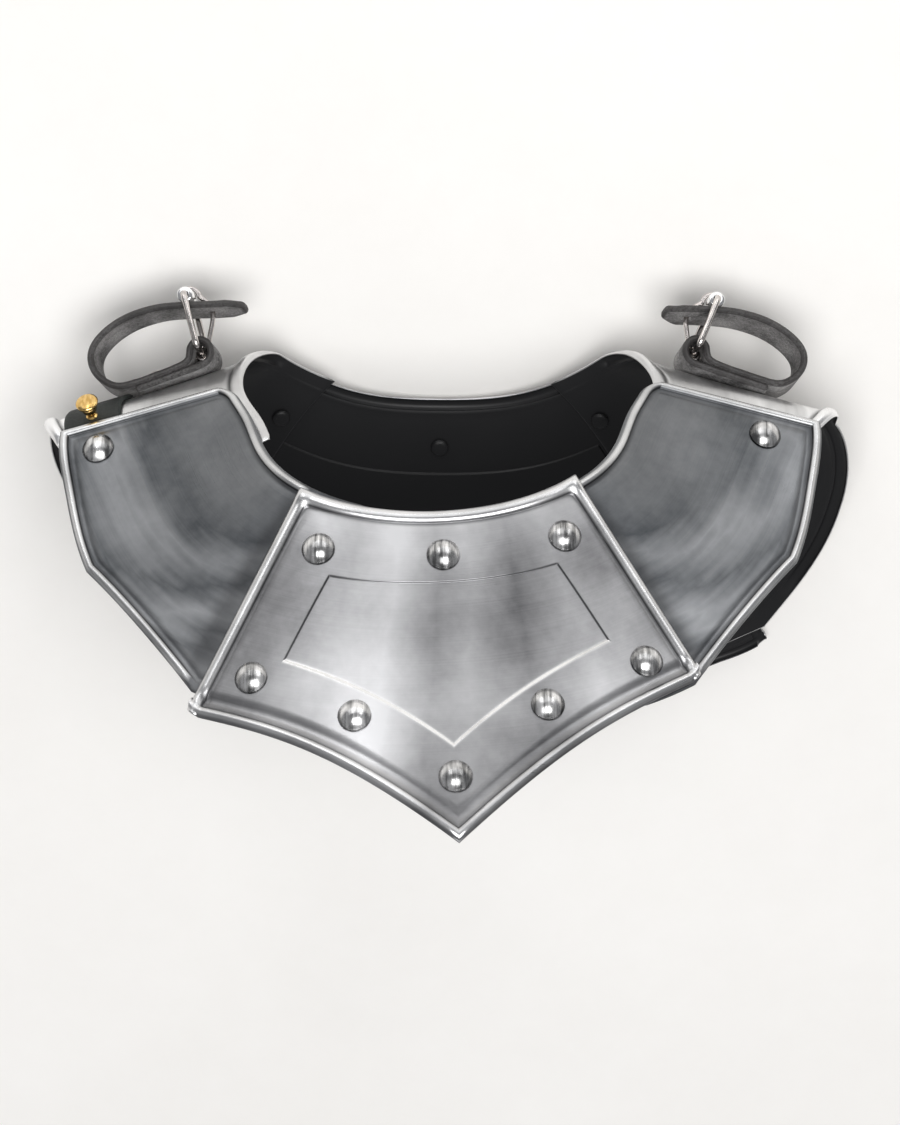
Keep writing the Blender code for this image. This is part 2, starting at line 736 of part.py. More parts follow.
def closure_tab(rivet_at, parent):
    """Leather tab from under the front plate over the back shoulder, and its brass stud."""
    seam = STATION["shoulder_seam"]
    tab = Plate(
        lambda r: seam - TAB_UNDER / stretch(seam + 0 * r, r),
        lambda r: seam + TAB_OVER / stretch(seam + 0 * r, r),
        constant(TAB_MIDDLE - TAB_WIDTH / 2),
        constant(TAB_MIDDLE + TAB_WIDTH / 2),
    )
    s, r = tab.grid([tab.from_a(0), 8, tab.from_b(0)], [tab.from_neck(0), 2, tab.from_lower(0)])
    top = LEVEL_FRONT_SIDE - SHEET - CLEAR
    outer = mirrored(tab.point(s, r, top), "left")
    inner = mirrored(tab.point(s, r, top - TAB_LEATHER), "left")
    leather = sheet_solid("closure_tab", outer, inner, parent, MATERIAL["tab_leather"])
    spot = tab.cross(tab.from_a(TAB_UNDER + STUD_FROM_SEAM), constant(TAB_MIDDLE))
    place = rivet_place(tab, spot, top, "left")
    drill(leather, [rivet_at, place], SHANK_RADIUS + CLEAR, DRILL_DEPTH)
    foot = -(TAB_LEATHER + 2 * CLEAR + SHEET)
    profile = [(wide * STUD_RADIUS, CLEAR + tall * STUD_HEIGHT) for wide, tall in STUD_PROFILE]
    profile += [(SHANK_RADIUS, CLEAR), (SHANK_RADIUS, foot), (CLENCH_RADIUS, foot),
                (CLENCH_RADIUS, foot - CLENCH_HEIGHT), (0, foot - CLENCH_HEIGHT)]
    points, faces = turned_shape(profile, TURNED_SIDES)
    mesh_object("tab_stud", placed(points, place), faces, parent, MATERIAL["brass"])
    return place


# Upper run of a strap seen from the front: along the shoulder as a share of LOOP_REACH, and
# off the plate as a share of the loop's rise
# columns: along, rise
ROUTE_OUT = (
    (0.872, 0.177),
    (0.957, 0.310),
    (1.000, 0.490),
    (0.990, 0.680),
    (0.925, 0.830),
    (0.800, 0.945),
    (0.640, 1.000),
    (0.440, 0.975),
    (0.230, 0.865),
    (0.080, 0.770),
)

UPPER_RUN = 0.55  # share of the rise over which the strap is on its way back

BAR = np.array([BAR_ALONG, BAR_RISE])
FOLD_ANGLES = (180, 130, 81, 36)  # of the leather round the bar
FOLD_START = (0.30, 0.25)  # where the fold begins, in its radii past the bar and up
PRONG_STEP = 30
PRONG_TURNS = range(480, 179, -PRONG_STEP)
PRONG_OVER = (190, 160, 130, 100, 75)  # angles at which it lies on the roller
PRONG_SPANS = 6
PRONG_SWELL = 1.6


def round_point(centre, radius, angle):
    angle = math.radians(angle)
    return centre + radius * np.array([math.cos(angle), math.sin(angle)])


def strap_route(strap):
    """Middle line of the strap's leather, from its hidden end to its free end."""
    low = STRAP_GAP + LEATHER / 2
    upper = low + LEATHER + CLEAR
    wrap = WIRE_RADIUS + CLEAR + LEATHER / 2
    fold = [round_point(BAR, wrap, angle) for angle in FOLD_ANGLES]
    inner, outer = STRAP_RIVET - FLAT_AT_RIVET, STRAP_RIVET + FLAT_AT_RIVET
    halfway = 0.5 * (fold[-1] + (inner, upper))
    points = [(strap["tail"], low), (0.5 * (strap["tail"] + BAR_ALONG), low)]
    past_bar, up = FOLD_START
    points += [(BAR_ALONG + wrap, low), (BAR_ALONG - past_bar * wrap, low + up * wrap)]
    points += fold + [halfway, (inner, upper), (STRAP_RIVET, upper), (outer, upper)]
    points += [(along * LOOP_REACH, rise * strap["rise"]) for along, rise in ROUTE_OUT]
    last = points[-1]
    fall = strap["end_slope"] * (last[0] - strap["free_end"])
    points += [(strap["free_end"], last[1] - fall)]
    return points


def roller_centre(strap, path):
    """The roller presses on the strap's upper run."""
    way = unit(np.gradient(path, axis=0))
    upper = np.flatnonzero((path[:, 1] > UPPER_RUN * strap["rise"]) & (way[:, 0] < 0))
    off = LEATHER / 2 + CLEAR + ROLLER_RADIUS
    line = path[upper] + off * np.stack([way[upper, 1], -way[upper, 0]], axis=1)
    return np.array([strap["roller"], np.interp(-strap["roller"], -line[:, 0], line[:, 1])])


def prong_path(roller):
    """Round the bar, up on the neck side and over the roller."""
    ring = WIRE_RADIUS + CLEAR + PRONG_RADIUS
    path = [round_point(BAR, ring, angle) for angle in PRONG_TURNS]
    over = [
        round_point(roller, ROLLER_RADIUS + CLEAR + PRONG_RADIUS, angle) for angle in PRONG_OVER
    ]
    start, end = path[-1], over[0]
    for t in np.linspace(0, 1, PRONG_SPANS + 1)[1:-1]:
        bow = PRONG_BOW * math.sin(math.pi * t**PRONG_SWELL)
        path.append(start + (end - start) * t - (bow, 0.0))
    return np.array(path + over)


def way_to(points, starts, ends):
    """Shortest way from any of the points to each of the straight pieces."""
    run = ends - starts
    to_points = points[None] - starts[:, None]
    share = (to_points * run[:, None]).sum(-1) / (run**2).sum(-1)[:, None]
    nearest = starts[:, None] + np.clip(share, 0, 1)[..., None] * run[:, None]
    return np.linalg.norm(points[None] - nearest, axis=-1).min(axis=1)


def strap_and_buckle(side, parent):
    """One shoulder's strap, rivet, buckle frame, roller and prong."""
    strap = STRAPS[side]
    crest = STATION["crest"]
    at_rivet = np.array(strap["outset"] + STRAP_RIVET)
    along = unit(RING(crest)[3:])
    up = outward(np.array(crest), at_rivet)
    origin = surface(np.array(crest), strap["outset"]) + up * LEVEL_BACK_SIDE
    across = np.cross(up, along)

    def worn(points, aside=0.0):
        points = np.asarray(points, float)
        place = origin + points[..., :1] * along + points[..., 1:2] * up
        return mirrored(place + np.asarray(aside, float)[..., None] * across, side)

    path = smooth_path(strap_route(strap), STRAP_SPANS)
    way = unit(np.gradient(path, axis=0))
    square = np.stack([-way[:, 1], way[:, 0]], axis=1)
    lanes = np.array([-STRAP_WIDTH / 2, -SLOT_WIDTH / 2, SLOT_WIDTH / 2, STRAP_WIDTH / 2])
    lanes = np.tile(lanes, (len(path), 1))
    top = worn((path + square * LEATHER / 2)[:, None, :], lanes)
    bottom = worn((path - square * LEATHER / 2)[:, None, :], lanes)

    roller = roller_centre(strap, path)
    prong = prong_path(roller)
    between = 0.5 * (path[:-1] + path[1:])
    slot_reach = WIRE_RADIUS + 2 * PRONG_RADIUS + LEATHER + CLEAR
    near_bar = np.linalg.norm(between - BAR, axis=1) < slot_reach
    lower_layer = between[:, 1] < LEATHER
    upper_run = between[:, 1] > UPPER_RUN * strap["rise"]
    to_prong = way_to(smooth_path(prong[len(PRONG_TURNS) :], PRONG_SPANS), path[:-1], path[1:])
    crossing = upper_run & (to_prong < LEATHER / 2 + PRONG_RADIUS + CLEAR)
    open_cells = [(i, 1) for i in np.flatnonzero((near_bar & ~lower_layer) | crossing)]
    leather = sheet_solid(f"{side}_strap", top, bottom, parent, MATERIAL["leather"], open_cells)

    layers = 2 * LEATHER + CLEAR + STRAP_GAP
    foot = mirrored(lifted(np.array(crest), at_rivet, LEVEL_BACK_SIDE + layers), side)
    place = standing(foot, mirrored(up, side))
    rivet(f"{side}_strap_rivet", place, layers + SHEET, parent, MATERIAL["nickel"],
          STRAP_HEAD_RADIUS, STRAP_HEAD_HEIGHT)
    drill(leather, [place], SHANK_RADIUS + CLEAR, STRAP_DRILL_DEPTH)

    half = STRAP_WIDTH / 2 + BUCKLE_SIDE_GAP + WIRE_RADIUS
    loop = []
    corners = ((BAR, -half), (BAR, half), (roller, half), (roller, -half))
    for k, (corner, aside) in enumerate(corners):
        for other, other_aside in (corners[k - 1], corners[(k + 1) % 4]):
            share = BUCKLE_CORNER / max(np.linalg.norm(other - corner), abs(other_aside - aside))
            loop.append(worn(corner + (other - corner) * share, aside + (other_aside - aside) * share))
    frame_across = unit(np.cross(loop[2] - loop[1], loop[4] - loop[3]))
    tube(f"{side}_buckle_frame", loop, WIRE_RADIUS, frame_across, True, parent, MATERIAL["nickel"])

    inner, outer, reach = WIRE_RADIUS + CLEAR, ROLLER_RADIUS, half - BUCKLE_CORNER - CLEAR
    profile = [(outer, reach), (inner, reach), (inner, -reach), (outer, -reach)]
    points, faces = turned_shape(profile, TURNED_SIDES)
    spot = standing(worn(roller), mirrored(across, side))
    mesh_object(f"{side}_roller", placed(points, spot), faces, parent, MATERIAL["nickel"])
    tube(f"{side}_prong", worn(prong), PRONG_RADIUS, mirrored(across, side), False, parent,
         MATERIAL["nickel"])
    return place


def lay_on_back(root, pieces):
    """Turns the worn gorget down on the heads of its back rivets, with the floor at z = 0."""
    bpy.context.view_layer.update()
    spots = {p.name: np.array([p.matrix_world @ v.co for v in p.data.vertices]) for p in pieces}
    high = spots[f"back_centre_rivet_{TOP_RIVET}"]
    low = np.concatenate([spots[f"back_centre_rivet_{k}"] for k in LOWER_RIVETS])

    def lowest(points, turn):
        return (points[:, 1] * math.sin(turn) + points[:, 2] * math.cos(turn)).min()

    near, far = LYING_TURNS
    for _ in range(LYING_ROUNDS):
        turn = 0.5 * (near + far)
        if lowest(high, turn) > lowest(low, turn):
            far = turn
        else:
            near = turn
    everything = np.concatenate(list(spots.values()))
    turned = everything @ np.array(Matrix.Rotation(turn, 3, "X")).T
    root.rotation_euler.x = turn
    root.location = (
        -0.5 * (turned[:, 0].min() + turned[:, 0].max()),
        -0.5 * (turned[:, 1].min() + turned[:, 1].max()),
        -turned[:, 2].min(),
    )


def build():
    root = bpy.data.objects.new("gorget", None)
    bpy.context.scene.collection.objects.link(root)
    front = centre_plate("front_centre_plate", front_centre_plate(), LEVEL_FRONT_CENTRE,
                         FRONT_SIZES, root)
    back = centre_plate("back_centre_plate", back_centre_plate(), LEVEL_BACK_CENTRE,
                        BACK_SIZES, root)
    for side in SIDES:
        k = 0 if side == "left" else 1
        corner = front_side(side, [front[k], front[k + 2]], root)
        buckle = strap_and_buckle(side, root)
        through = [buckle]
        if side == "left":
            through.append(closure_tab(corner, root))
        else:
            through.append(corner)
        k = 1 if side == "left" else 0
        back_side(side, [back[k], back[k + 2]], through, root)
    pieces = [p for p in bpy.data.objects if p.type == "MESH" and not p.hide_render]
    lay_on_back(root, pieces)


def principled(name, colour, roughness, metallic):
    material = bpy.data.materials.new(name)
    material.use_nodes = True
    shader = material.node_tree.nodes["Principled BSDF"]
    shader.inputs["Base Color"].default_value = colour
    shader.inputs["Roughness"].default_value = roughness
    shader.inputs["Metallic"].default_value = metallic
    return material


clear_scene()
MATERIAL = {name: principled(name, *look) for name, look in MATERIALS.items()}
build()
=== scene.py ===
# A steel gorget lying on its back, seen from its front and a little from the head end
import math

import bpy
import bmesh
import numpy as np
from mathutils import Matrix, Vector


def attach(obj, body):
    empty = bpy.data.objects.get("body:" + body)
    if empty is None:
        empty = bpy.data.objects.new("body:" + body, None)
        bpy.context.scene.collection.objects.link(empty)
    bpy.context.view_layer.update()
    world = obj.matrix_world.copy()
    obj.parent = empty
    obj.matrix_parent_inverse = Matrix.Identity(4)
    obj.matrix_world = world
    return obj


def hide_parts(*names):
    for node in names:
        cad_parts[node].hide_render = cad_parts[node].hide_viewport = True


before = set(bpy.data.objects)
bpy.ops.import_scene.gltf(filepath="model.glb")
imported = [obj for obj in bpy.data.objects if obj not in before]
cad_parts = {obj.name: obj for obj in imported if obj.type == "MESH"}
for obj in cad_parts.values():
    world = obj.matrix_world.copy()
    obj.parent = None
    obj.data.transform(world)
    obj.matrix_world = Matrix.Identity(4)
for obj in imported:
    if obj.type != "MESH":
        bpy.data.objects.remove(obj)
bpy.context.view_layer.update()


# Shape of the neck and of the plates round it

neck = {"halfWidth": 0.087, "front": 0.070, "back": 0.067, "fall": 0.034, "rise": 0.018}
neckSections = {  # shares of the neck's sizes across, deep and high; then heading and drop in degrees
    "frontCentre": (0.000, -1.000, -1.000, 0.0, 51.0),
    "frontCorner": (0.632, -0.829, -0.706, 48.0, 50.6),
    "frontFlank": (0.834, -0.510, -0.356, 78.8, 33.0),
    "frontRise": (0.900, -0.290, -0.068, 87.6, 22.4),
    "seam": (0.993, -0.023, 0.450, 90.0, 14.8),
    "crest": (0.954, 0.328, 1.000, 90.0, 19.6),
    "backFlank": (0.885, 0.530, 0.930, 100.0, 37.0),
    "backCorner": (0.816, 0.690, 0.670, 119.7, 57.2),
    "backBend": (0.700, 0.795, 0.280, 130.0, 65.5),
    "backQuarter": (0.400, 0.926, -0.190, 142.0, 73.0),
    "backCentre": (0.000, 1.000, -0.300, 180.0, 78.0),
}
sheet = {"thick": 0.0012, "lapGap": 0.0006, "clear": 0.0003, "lap": 0.028, "tab": 0.0020}
level = {"frontSide": 0.0, "frontCentre": 0.0018, "backSide": -0.0038, "backCentre": -0.0020}
layDown = {"turn": math.radians(-102.0005), "to": (-0.003925, 0.076316, 0.066114)}
slopeStep = 0.0005


def unit(v):
    return v / np.linalg.norm(v, axis=-1, keepdims=True)


def sectionValues(across, depth, height, heading, drop):
    point = (
        across * neck["halfWidth"],
        depth * (neck["front"] if depth < 0 else neck["back"]),
        height * (neck["fall"] if height < 0 else neck["rise"]),
    )
    way, fall = math.radians(heading), math.radians(drop)
    run = (math.cos(fall) * math.sin(way), -math.cos(fall) * math.cos(way), -math.sin(fall))
    return np.array(point + run)


def closedSpline(knots, values):
    gaps = np.diff(knots)
    count = len(gaps)
    matrix = np.zeros((count, count))
    right = np.zeros((count, values.shape[1]))
    for i in range(count):
        after = (i + 1) % count
        matrix[i, i - 1] += gaps[i - 1]
        matrix[i, i] += 2 * (gaps[i - 1] + gaps[i])
        matrix[i, after] += gaps[i]
        right[i] = (values[after] - values[i]) / gaps[i] - (values[i] - values[i - 1]) / gaps[i - 1]
    bend = np.linalg.solve(matrix, 6 * right)

    def at(s):
        s = knots[0] + np.mod(np.asarray(s, float) - knots[0], knots[-1] - knots[0])
        i = np.clip(np.searchsorted(knots, s, side="right") - 1, 0, count - 1)
        j = (i + 1) % count
        gap = gaps[i][..., None]
        toEnd, fromStart = (knots[i + 1] - s)[..., None], (s - knots[i])[..., None]
        curved = (bend[i] * toEnd**3 + bend[j] * fromStart**3) / (6 * gap)
        straight = (values[i] / gap - bend[i] * gap / 6) * toEnd
        return curved + straight + (values[j] / gap - bend[j] * gap / 6) * fromStart

    return at


def buildRing():
    half = np.array([sectionValues(*row) for row in neckSections.values()])
    runs = np.linalg.norm(np.diff(half[:, :3], axis=0), axis=1)
    places = np.concatenate([[0.0], np.cumsum(runs)])
    knots = np.concatenate([-places[::-1], places[1:]])
    values = np.concatenate([half[::-1] * (-1, 1, 1, -1, 1, 1), half[1:]])
    return closedSpline(knots, values[:-1]), dict(zip(neckSections, places))


ring, station = buildRing()


def surface(s, r):  # s along the neck edge from the front centre, r out from it
    value = ring(s)
    return value[..., :3] + np.asarray(r, float)[..., None] * unit(value[..., 3:])


def acrossSlope(s, r):
    s = np.asarray(s, float)
    return (surface(s + slopeStep, r) - surface(s - slopeStep, r)) / (2 * slopeStep)


def stretch(s, r):
    return np.linalg.norm(acrossSlope(s, r), axis=-1)


def outward(s, r):
    return unit(np.cross(unit(ring(s)[..., 3:]), acrossSlope(s, r)))


def lifted(s, r, height):
    return surface(s, r) + outward(s, r) * np.asarray(height, float)[..., None]


sideSign = {"left": -1.0, "right": 1.0}
turnMatrix = np.array(Matrix.Rotation(layDown["turn"], 3, "X"))


def laid(points, side="right"):  # from the worn gorget to the one on the floor
    return (np.asarray(points, float) * (sideSign[side], 1.0, 1.0)) @ turnMatrix.T + layDown["to"]


def laidWay(ways, side="right"):
    return (np.asarray(ways, float) * (sideSign[side], 1.0, 1.0)) @ turnMatrix.T


# Shader helpers: a wire in the node tree that Python operators work on

class Wire:
    def __init__(self, nodes, socket):
        self.nodes, self.socket = nodes, socket

    def calc(self, operation, a, b):
        return self.nodes.add("ShaderNodeMath", {"operation": operation}, {0: a, 1: b})

    def __add__(self, other):
        return self.calc("ADD", self, other)

    __radd__ = __add__

    def __sub__(self, other):
        return self.calc("SUBTRACT", self, other)

    def __rsub__(self, other):
        return self.calc("SUBTRACT", other, self)

    def __mul__(self, other):
        return self.calc("MULTIPLY", self, other)

    __rmul__ = __mul__


def grey(value):
    return (value, value, value, 1)


class Finish:
    def __init__(self, name, uniform):
        self.material = bpy.data.materials.new(name)
        self.material.use_nodes = True
        self.tree = self.material.node_tree
        self.shader = self.tree.nodes["Principled BSDF"]
        for socket, value in uniform.items():
            self.shader.inputs[socket].default_value = value

    def add(self, kind, settings, inputs, out=0):
        node = self.tree.nodes.new(kind)
        for key, value in settings.items():
            if key == "stops":  # of a colour ramp: (place, colour), ...
                for k, (place, colour) in enumerate(value):
                    elements = node.color_ramp.elements
                    stop = elements[k] if k < 2 else elements.new(place)
                    stop.position, stop.color = place, colour
            else:
                setattr(node, key, value)
        for key, value in inputs.items():
            if isinstance(value, Wire):
                self.tree.links.new(value.socket, node.inputs[key])
            else:
                node.inputs[key].default_value = value
        return Wire(self, node.outputs[out])

    def feed(self, socket, wire):
        self.tree.links.new(wire.socket, self.shader.inputs[socket])

    def place(self):
        return self.add("ShaderNodeTexCoord", {}, {}, "Object")

    def map(self, name):
        return self.add("ShaderNodeUVMap", {"uv_map": name}, {})

    def scaled(self, vector, factors):
        return self.add("ShaderNodeVectorMath", {"operation": "MULTIPLY"}, {0: vector, 1: factors})

    def part(self, vector, axis):
        return self.add("ShaderNodeSeparateXYZ", {}, {0: vector}, axis)

    def absolute(self, wire):
        return wire.calc("ABSOLUTE", wire, 0.0)

    def noise(self, vector, scale, detail, roughness):
        return self.add("ShaderNodeTexNoise", {},
                        {"Vector": vector, "Scale": scale, "Detail": detail, "Roughness": roughness})

    def ramp(self, wire, tones):  # (place, grey), ...
        stops = [(place, grey(tone)) for place, tone in tones]
        return self.add("ShaderNodeValToRGB", {"stops": stops}, {0: wire})

    def range(self, wire, low, high, newLow=0.0, newHigh=1.0):
        return self.add("ShaderNodeMapRange", {}, {0: wire, 1: low, 2: high, 3: newLow, 4: newHigh})

    def mix(self, factor, a, b):
        return self.add("ShaderNodeMix", {"data_type": "RGBA"}, {0: factor, 6: a, 7: b}, 2)

    def blend(self, a, b, share):
        return a * share + b * (1 - share)

    def attribute(self, name):
        return self.add("ShaderNodeAttribute", {"attribute_name": name}, {}, "Fac")

    def bump(self, wire, strength, distance):
        return self.add("ShaderNodeBump", {}, {"Height": wire, "Strength": strength, "Distance": distance})


steelLook = {  # noise: scale, detail, roughness
    "centre": {"dark": (0.07, 0.07, 0.074, 1), "light": (0.60, 0.60, 0.61, 1), "span": (0.20, 0.82)},
    "side": {"dark": (0.050, 0.055, 0.061, 1), "light": (0.50, 0.51, 0.525, 1), "span": (0.0, 0.95)},
    # crest: a lighter copy of the side steel for the back side plates, a painted reflection of a bright
    # backdrop on the shoulder crests
    "crest": {"dark": (0.40, 0.40, 0.40, 1), "light": (0.95, 0.95, 0.95, 1), "span": (0.0, 0.5)},
    "brushing": (8.0, 1500.0, 1.0), "streaks": (1.0, 5.0, 0.65), "clouds": (9.0, 4.0, 0.55),
    "blotches": (34.0, 3.0, 0.5), "fine": (260.0, 3.0, 0.6),
    "streakShare": 0.10, "blotchShare": 0.34, "fineShare": 0.10,
    # a dark colour for painted shade in the creases at the rolled edges, under lapped plates and along the
    # panel's upper steps
    "shadeColour": (0.03, 0.03, 0.032, 1), "shadeShare": 0.92,
    # a near-white colour on the bead tops, partly polish and partly painted highlight, and a painted
    # highlight along the panel's lower step
    "polished": (0.88, 0.88, 0.88, 1), "polishHighlightShare": (1.2, 0.05),
    "roughness": (0.26, 0.42), "roughnessFrom": (0.3, 0.7), "shadeRoughness": 0.15, "polishSmoothness": 0.06,
    "roughnessClouds": 0.6, "bumpStreaks": 0.7, "bump": 0.05, "bumpDepth": 0.0002,
}
centreReflectionBands = {  # painted reflections: soft light and dark bands across the centre plates and down them: share of the way, grey
    "halfWidth": 0.075, "waver": 0.030, "deep": 0.14, "drift": 0.04,
    "across": ((0.0, 0.34), (0.20, 0.56), (0.33, 0.98), (0.45, 0.46), (0.54, 0.66), (0.68, 0.32),
               (0.84, 0.62), (1.0, 0.40)),
    "down": ((0.0, 0.80), (0.14, 0.50), (0.30, 0.38), (0.62, 0.74), (0.82, 0.50), (1.0, 0.40)),
    "acrossShare": 0.62, "downShare": 0.48, "darker": 0.10,
}
sideReflectionStreaks = {  # painted reflections: broad slanting light and dark streaks, lighter towards the lower edge
    "slant": (0.9, 0.55), "span": (-0.075, 0.055), "waver": 0.05,
    "reflectionWaverScale": (9.0, 60.0, 1.0), "reflectionWaver": (1.0, 3.0, 0.6),
    "tones": ((0.0, 0.22), (0.24, 0.10), (0.36, 0.36), (0.45, 0.12), (0.56, 0.50), (0.66, 0.20),
              (0.80, 0.66), (1.0, 0.46)),
}
paintLook = {
    "dark": (0.008, 0.008, 0.0085, 1), "light": (0.014, 0.014, 0.015, 1), "roughness": (0.34, 0.46),
    "roughnessFrom": (0.3, 0.7), "peel": (420.0, 2.0, 0.5), "clouds": (14.0, 3.0, 0.5),
    "bump": 0.12, "bumpDepth": 0.0002, "shine": 0.3,
}
metalLook = {
    "clouds": (180.0, 3.0, 0.6), "scratches": (1.0, 3.0, 0.6), "scratchShare": 0.8,
    "toneFrom": (0.40, 0.60), "roughnessFrom": (0.3, 0.75),
    "bumpScratches": 0.5, "bump": 0.10, "bumpDepth": 0.0002,
    # rivet heads: brush marks stretched along one axis in strong contrast, partly real brushing and partly
    # painted reflection streaks of tall strip lights
    "rivetSteel": {"base": (0.16, 0.16, 0.16, 1), "worn": (0.86, 0.855, 0.85, 1), "roughness": (0.22, 0.34),
                   "brushing": (420, 40, 40)},
    "nickel": {"base": (0.70, 0.66, 0.63, 1), "worn": (0.50, 0.47, 0.46, 1), "roughness": (0.12, 0.22),
               "brushing": (160, 160, 160)},
    "chrome": {"base": (0.80, 0.80, 0.80, 1), "worn": (0.96, 0.96, 0.96, 1), "roughness": (0.10, 0.18),
               "brushing": (90, 90, 90)},
    "brass": {"base": (0.86, 0.60, 0.24, 1), "worn": (0.62, 0.38, 0.12, 1), "roughness": (0.12, 0.26),
              "brushing": (900, 900, 120)},
}
leatherLook = {
    "strap": {"dark": (0.030, 0.029, 0.029, 1), "light": (0.50, 0.485, 0.48, 1),
              "edge": (0.022, 0.019, 0.018, 1)},
    "tab": {"dark": (0.006, 0.008, 0.007, 1), "light": (0.030, 0.036, 0.033, 1),
            "edge": (0.030, 0.036, 0.033, 1)},
    "pebbles": 1300.0, "pebbleEdge": 0.28, "pebbleShade": 0.55,
    "fibres": (900.0, 4.0, 0.65), "clouds": (70.0, 4.0, 0.6), "cloudShare": 0.6, "toneFrom": (0.40, 0.64),
    "edgeFrom": (0.30, 0.60, 0.55, 1.0), "roughness": (0.25, 0.8, 0.48, 0.72),
    "bumpPebbles": 0.7, "bumpFibres": 0.5, "bump": 0.35, "bumpDepth": 0.0004,
}


# Painted reflections: soft light and dark bands across and down the centre plates, wavering with the clouds
def paintedCentreReflections(look, lines, clouds):
    tones = centreReflectionBands
    u = look.part(lines, "X") + (clouds - 0.5) * tones["waver"]
    v = look.part(lines, "Y") + (clouds - 0.5) * tones["drift"]
    across = look.ramp(look.range(u, -tones["halfWidth"], tones["halfWidth"]), tones["across"])
    down = look.ramp(look.range(v, 0.0, tones["deep"]), tones["down"])
    return across * tones["acrossShare"] + down * tones["downShare"] - tones["darker"]


# Painted reflections: slanting light and dark streaks on the side and back plates, lighter towards the
# lower edge
def paintedSideReflections(look, lines, clouds):
    u, v = look.part(lines, "X"), look.part(lines, "Y")
    down, across = sideReflectionStreaks["slant"]
    reflectionWaver = look.noise(look.scaled(lines, sideReflectionStreaks["reflectionWaverScale"]), *sideReflectionStreaks["reflectionWaver"])
    place = v * down - look.absolute(u) * across + (clouds - 0.5) * sideReflectionStreaks["waver"]
    place = place + (reflectionWaver - 0.5) * sideReflectionStreaks["waver"]
    return look.ramp(look.range(place, *sideReflectionStreaks["span"]), sideReflectionStreaks["tones"])


def brushedSteel(name, tones, bands):
    look = Finish(name, {"Metallic": 1.0})
    lines = look.map("plateLines")  # u along the neck edge, v out from it, in metres
    streaks = look.noise(look.scaled(lines, steelLook["brushing"]), *steelLook["streaks"])
    clouds, blotches, fine = (look.noise(look.place(), *steelLook[key])
                              for key in ("clouds", "blotches", "fine"))
    tone = bands(look, lines, clouds) + (streaks - 0.5) * steelLook["streakShare"]
    tone = tone + (blotches - 0.5) * steelLook["blotchShare"] + (fine - 0.5) * steelLook["fineShare"]
    colour = look.mix(look.range(tone, *tones["span"]), tones["dark"], tones["light"])
    # Painted shade darkens the creases, the lapped edges and the panel's upper steps; the bead tops get a
    # polished colour that is partly painted highlight, and the panel's lower step a painted highlight
    paintedShade, polishAndHighlight = look.attribute("paintedShade"), look.attribute("polishAndHighlight")
    colour = look.mix(paintedShade * steelLook["shadeShare"], colour, steelLook["shadeColour"])
    share, least = steelLook["polishHighlightShare"]
    look.feed("Base Color", look.mix(polishAndHighlight * (blotches * share + least), colour, steelLook["polished"]))
    uneven = look.blend(clouds, streaks, steelLook["roughnessClouds"])
    roughness = look.range(uneven, *steelLook["roughnessFrom"], *steelLook["roughness"])
    roughness = roughness + paintedShade * steelLook["shadeRoughness"] - polishAndHighlight * steelLook["polishSmoothness"]
    look.feed("Roughness", roughness)
    grain = look.blend(streaks, fine, steelLook["bumpStreaks"])
    look.feed("Normal", look.bump(grain, steelLook["bump"], steelLook["bumpDepth"]))
    return look.material


def blackPaint(name):
    look = Finish(name, {"Specular IOR Level": paintLook["shine"]})
    peel, clouds = (look.noise(look.place(), *paintLook[key]) for key in ("peel", "clouds"))
    look.feed("Base Color", look.mix(clouds, paintLook["dark"], paintLook["light"]))
    look.feed("Roughness", look.range(clouds, *paintLook["roughnessFrom"], *paintLook["roughness"]))
    look.feed("Normal", look.bump(peel, paintLook["bump"], paintLook["bumpDepth"]))
    return look.material


def polishedMetal(name):
    look, own = Finish(name, {"Metallic": 1.0}), metalLook[name]
    clouds = look.noise(look.place(), *metalLook["clouds"])
    scratches = look.noise(look.scaled(look.place(), own["brushing"]), *metalLook["scratches"])
    tone = look.range(look.blend(scratches, clouds, metalLook["scratchShare"]), *metalLook["toneFrom"])
    look.feed("Base Color", look.mix(tone, own["base"], own["worn"]))
    look.feed("Roughness", look.range(clouds, *metalLook["roughnessFrom"], *own["roughness"]))
    grain = look.blend(scratches, clouds, metalLook["bumpScratches"])
    look.feed("Normal", look.bump(grain, metalLook["bump"], metalLook["bumpDepth"]))
    return look.material


def grainedLeather(name, own):
    look = Finish(name, {})
    place = look.place()
    cells = look.add("ShaderNodeTexVoronoi", {"feature": "DISTANCE_TO_EDGE"},
                     {"Vector": place, "Scale": leatherLook["pebbles"]})
    pebbles = look.range(cells, 0.0, leatherLook["pebbleEdge"])
    fibres, clouds = (look.noise(place, *leatherLook[key]) for key in ("fibres", "clouds"))
    share = leatherLook["cloudShare"]
    tone = look.range(look.blend(clouds, fibres, share), *leatherLook["toneFrom"])
    colour = look.mix(tone, own["dark"], own["light"])
    edges = look.attribute("wear") * look.range(fibres, *leatherLook["edgeFrom"])
    colour = look.mix(edges, colour, own["edge"])
    shade = look.range(pebbles, 0.0, 1.0, leatherLook["pebbleShade"], 0.0)
    look.feed("Base Color", look.mix(shade, colour, own["dark"]))
    look.feed("Roughness", look.range(look.blend(clouds, pebbles, share), *leatherLook["roughness"]))
    grain = pebbles * leatherLook["bumpPebbles"] + fibres * leatherLook["bumpFibres"]
    look.feed("Normal", look.bump(grain, leatherLook["bump"], leatherLook["bumpDepth"]))
    return look.material


